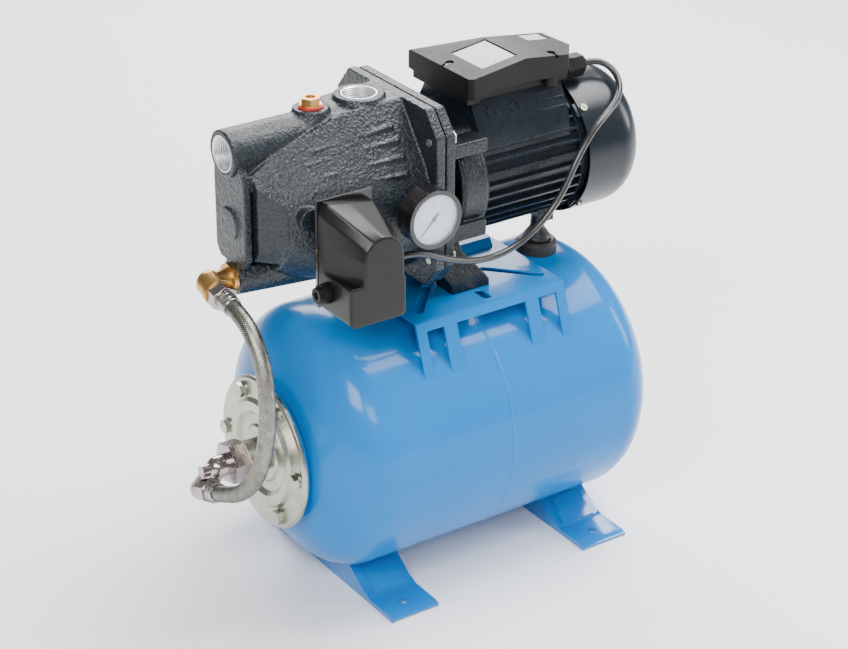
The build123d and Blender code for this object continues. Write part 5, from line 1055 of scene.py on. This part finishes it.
class PUMP_OT_gauge(bpy.types.Operator):
    """Pressure gauge: case with bezel, printed scale and pointer"""

    bl_idname = "pump.gauge"
    bl_label = "Gauge"

    def execute(self, context):
        machined("gauge_case_black", "gauge_case", "gauge_enamel", "pointer_black", 0.0007, 3)
        machined("gauge_needle", "gauge_pointer", "gauge_enamel", "pointer_black", 0.00008, 1)
        face_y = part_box("gauge_dial")[0].y - 0.00004
        centre = Vector((GAUGE_CENTRE.x, face_y, GAUGE_CENTRE.z))

        def ring_place(angle, radius):
            turn = math.radians(SCALE_START + angle)
            return centre + Vector((math.sin(turn), 0.0, math.cos(turn))) * radius

        def tick(angle, inner, outer, width):
            turn = math.radians(SCALE_START + angle)
            side = Vector((math.cos(turn), 0.0, -math.sin(turn))) * width
            a, b = ring_place(angle, inner), ring_place(angle, outer)
            return slab("tick", [a - side, a + side, b + side, b - side], -0.00005)

        def number(text, angle, radius, size):
            curve = bpy.data.curves.new("number", "FONT")
            curve.body, curve.size, curve.extrude = text, size, 0.00003
            curve.align_x = curve.align_y = "CENTER"
            obj = object_from("number", curve)
            upright = Matrix.Rotation(math.pi / 2, 4, "X")
            obj.matrix_world = Matrix.Translation(ring_place(angle, radius)) @ upright
            depsgraph = bpy.context.evaluated_depsgraph_get()
            mesh = bpy.data.meshes.new_from_object(obj.evaluated_get(depsgraph), depsgraph=depsgraph)
            mesh.transform(obj.matrix_world)
            bpy.data.objects.remove(obj)
            return object_from("number", mesh)

        black = [tick(i * SCALE_SWEEP / BAR_STEPS, 0.0212, 0.0231 if i % 5 else 0.0236,
                      0.00009 if i % 5 else 0.0002) for i in range(BAR_STEPS + 1)]
        black += [number(str(i), i * SCALE_SWEEP / 8, 0.0186, 0.0034) for i in (0, 2, 4, 6, 8)]
        red = [tick(i * SCALE_SWEEP / PSI_STEPS, 0.0146, 0.0155, 0.00008) for i in range(PSI_STEPS + 1)]
        red += [number(str(i * 20), i * SCALE_SWEEP / 6, 0.0121, 0.0024) for i in range(1, 6)]
        put(join("gauge_scale_black", black), "scale_black")
        put(join("gauge_scale_red", red), "scale_red")
        return {"FINISHED"}


class PUMP_PT_panel(bpy.types.Panel):
    """Steps that build the pump set"""

    bl_label = "Pump set"
    bl_idname = "PUMP_PT_panel"
    bl_space_type = "VIEW_3D"
    bl_region_type = "UI"
    bl_category = "Pump set"

    def draw(self, context):
        for settings in (context.scene.pump_paint, context.scene.pump_detail, context.scene.pump_stage):
            for name in settings.__annotations__:
                self.layout.prop(settings, name)
        for operator in STEPS:
            self.layout.operator(operator.bl_idname)


STEPS = (
    PUMP_OT_materials,
    PUMP_OT_stage,
    PUMP_OT_hose,
    PUMP_OT_lead,
    PUMP_OT_castings,
    PUMP_OT_sheet,
    PUMP_OT_hardware,
    PUMP_OT_threads,
    PUMP_OT_motor,
    PUMP_OT_terminal_box,
    PUMP_OT_switch,
    PUMP_OT_gauge,
)
CLASSES = (PaintSettings, DetailSettings, StageSettings, PUMP_PT_panel) + STEPS


def register():
    for cls in CLASSES:
        bpy.utils.register_class(cls)
    bpy.types.Scene.pump_paint = bpy.props.PointerProperty(type=PaintSettings)
    bpy.types.Scene.pump_detail = bpy.props.PointerProperty(type=DetailSettings)
    bpy.types.Scene.pump_stage = bpy.props.PointerProperty(type=StageSettings)


def unregister():
    del bpy.types.Scene.pump_stage
    del bpy.types.Scene.pump_detail
    del bpy.types.Scene.pump_paint
    for cls in reversed(CLASSES):
        bpy.utils.unregister_class(cls)


def main():
    register()
    bpy.ops.pump.materials()
    bpy.ops.pump.stage()
    bpy.ops.pump.hose()
    bpy.ops.pump.lead()
    bpy.ops.pump.castings()
    bpy.ops.pump.sheet()
    bpy.ops.pump.hardware()
    bpy.ops.pump.threads()
    bpy.ops.pump.motor()
    bpy.ops.pump.terminal_box()
    bpy.ops.pump.switch()
    bpy.ops.pump.gauge()
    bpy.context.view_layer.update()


if __name__ == "__main__":
    main()
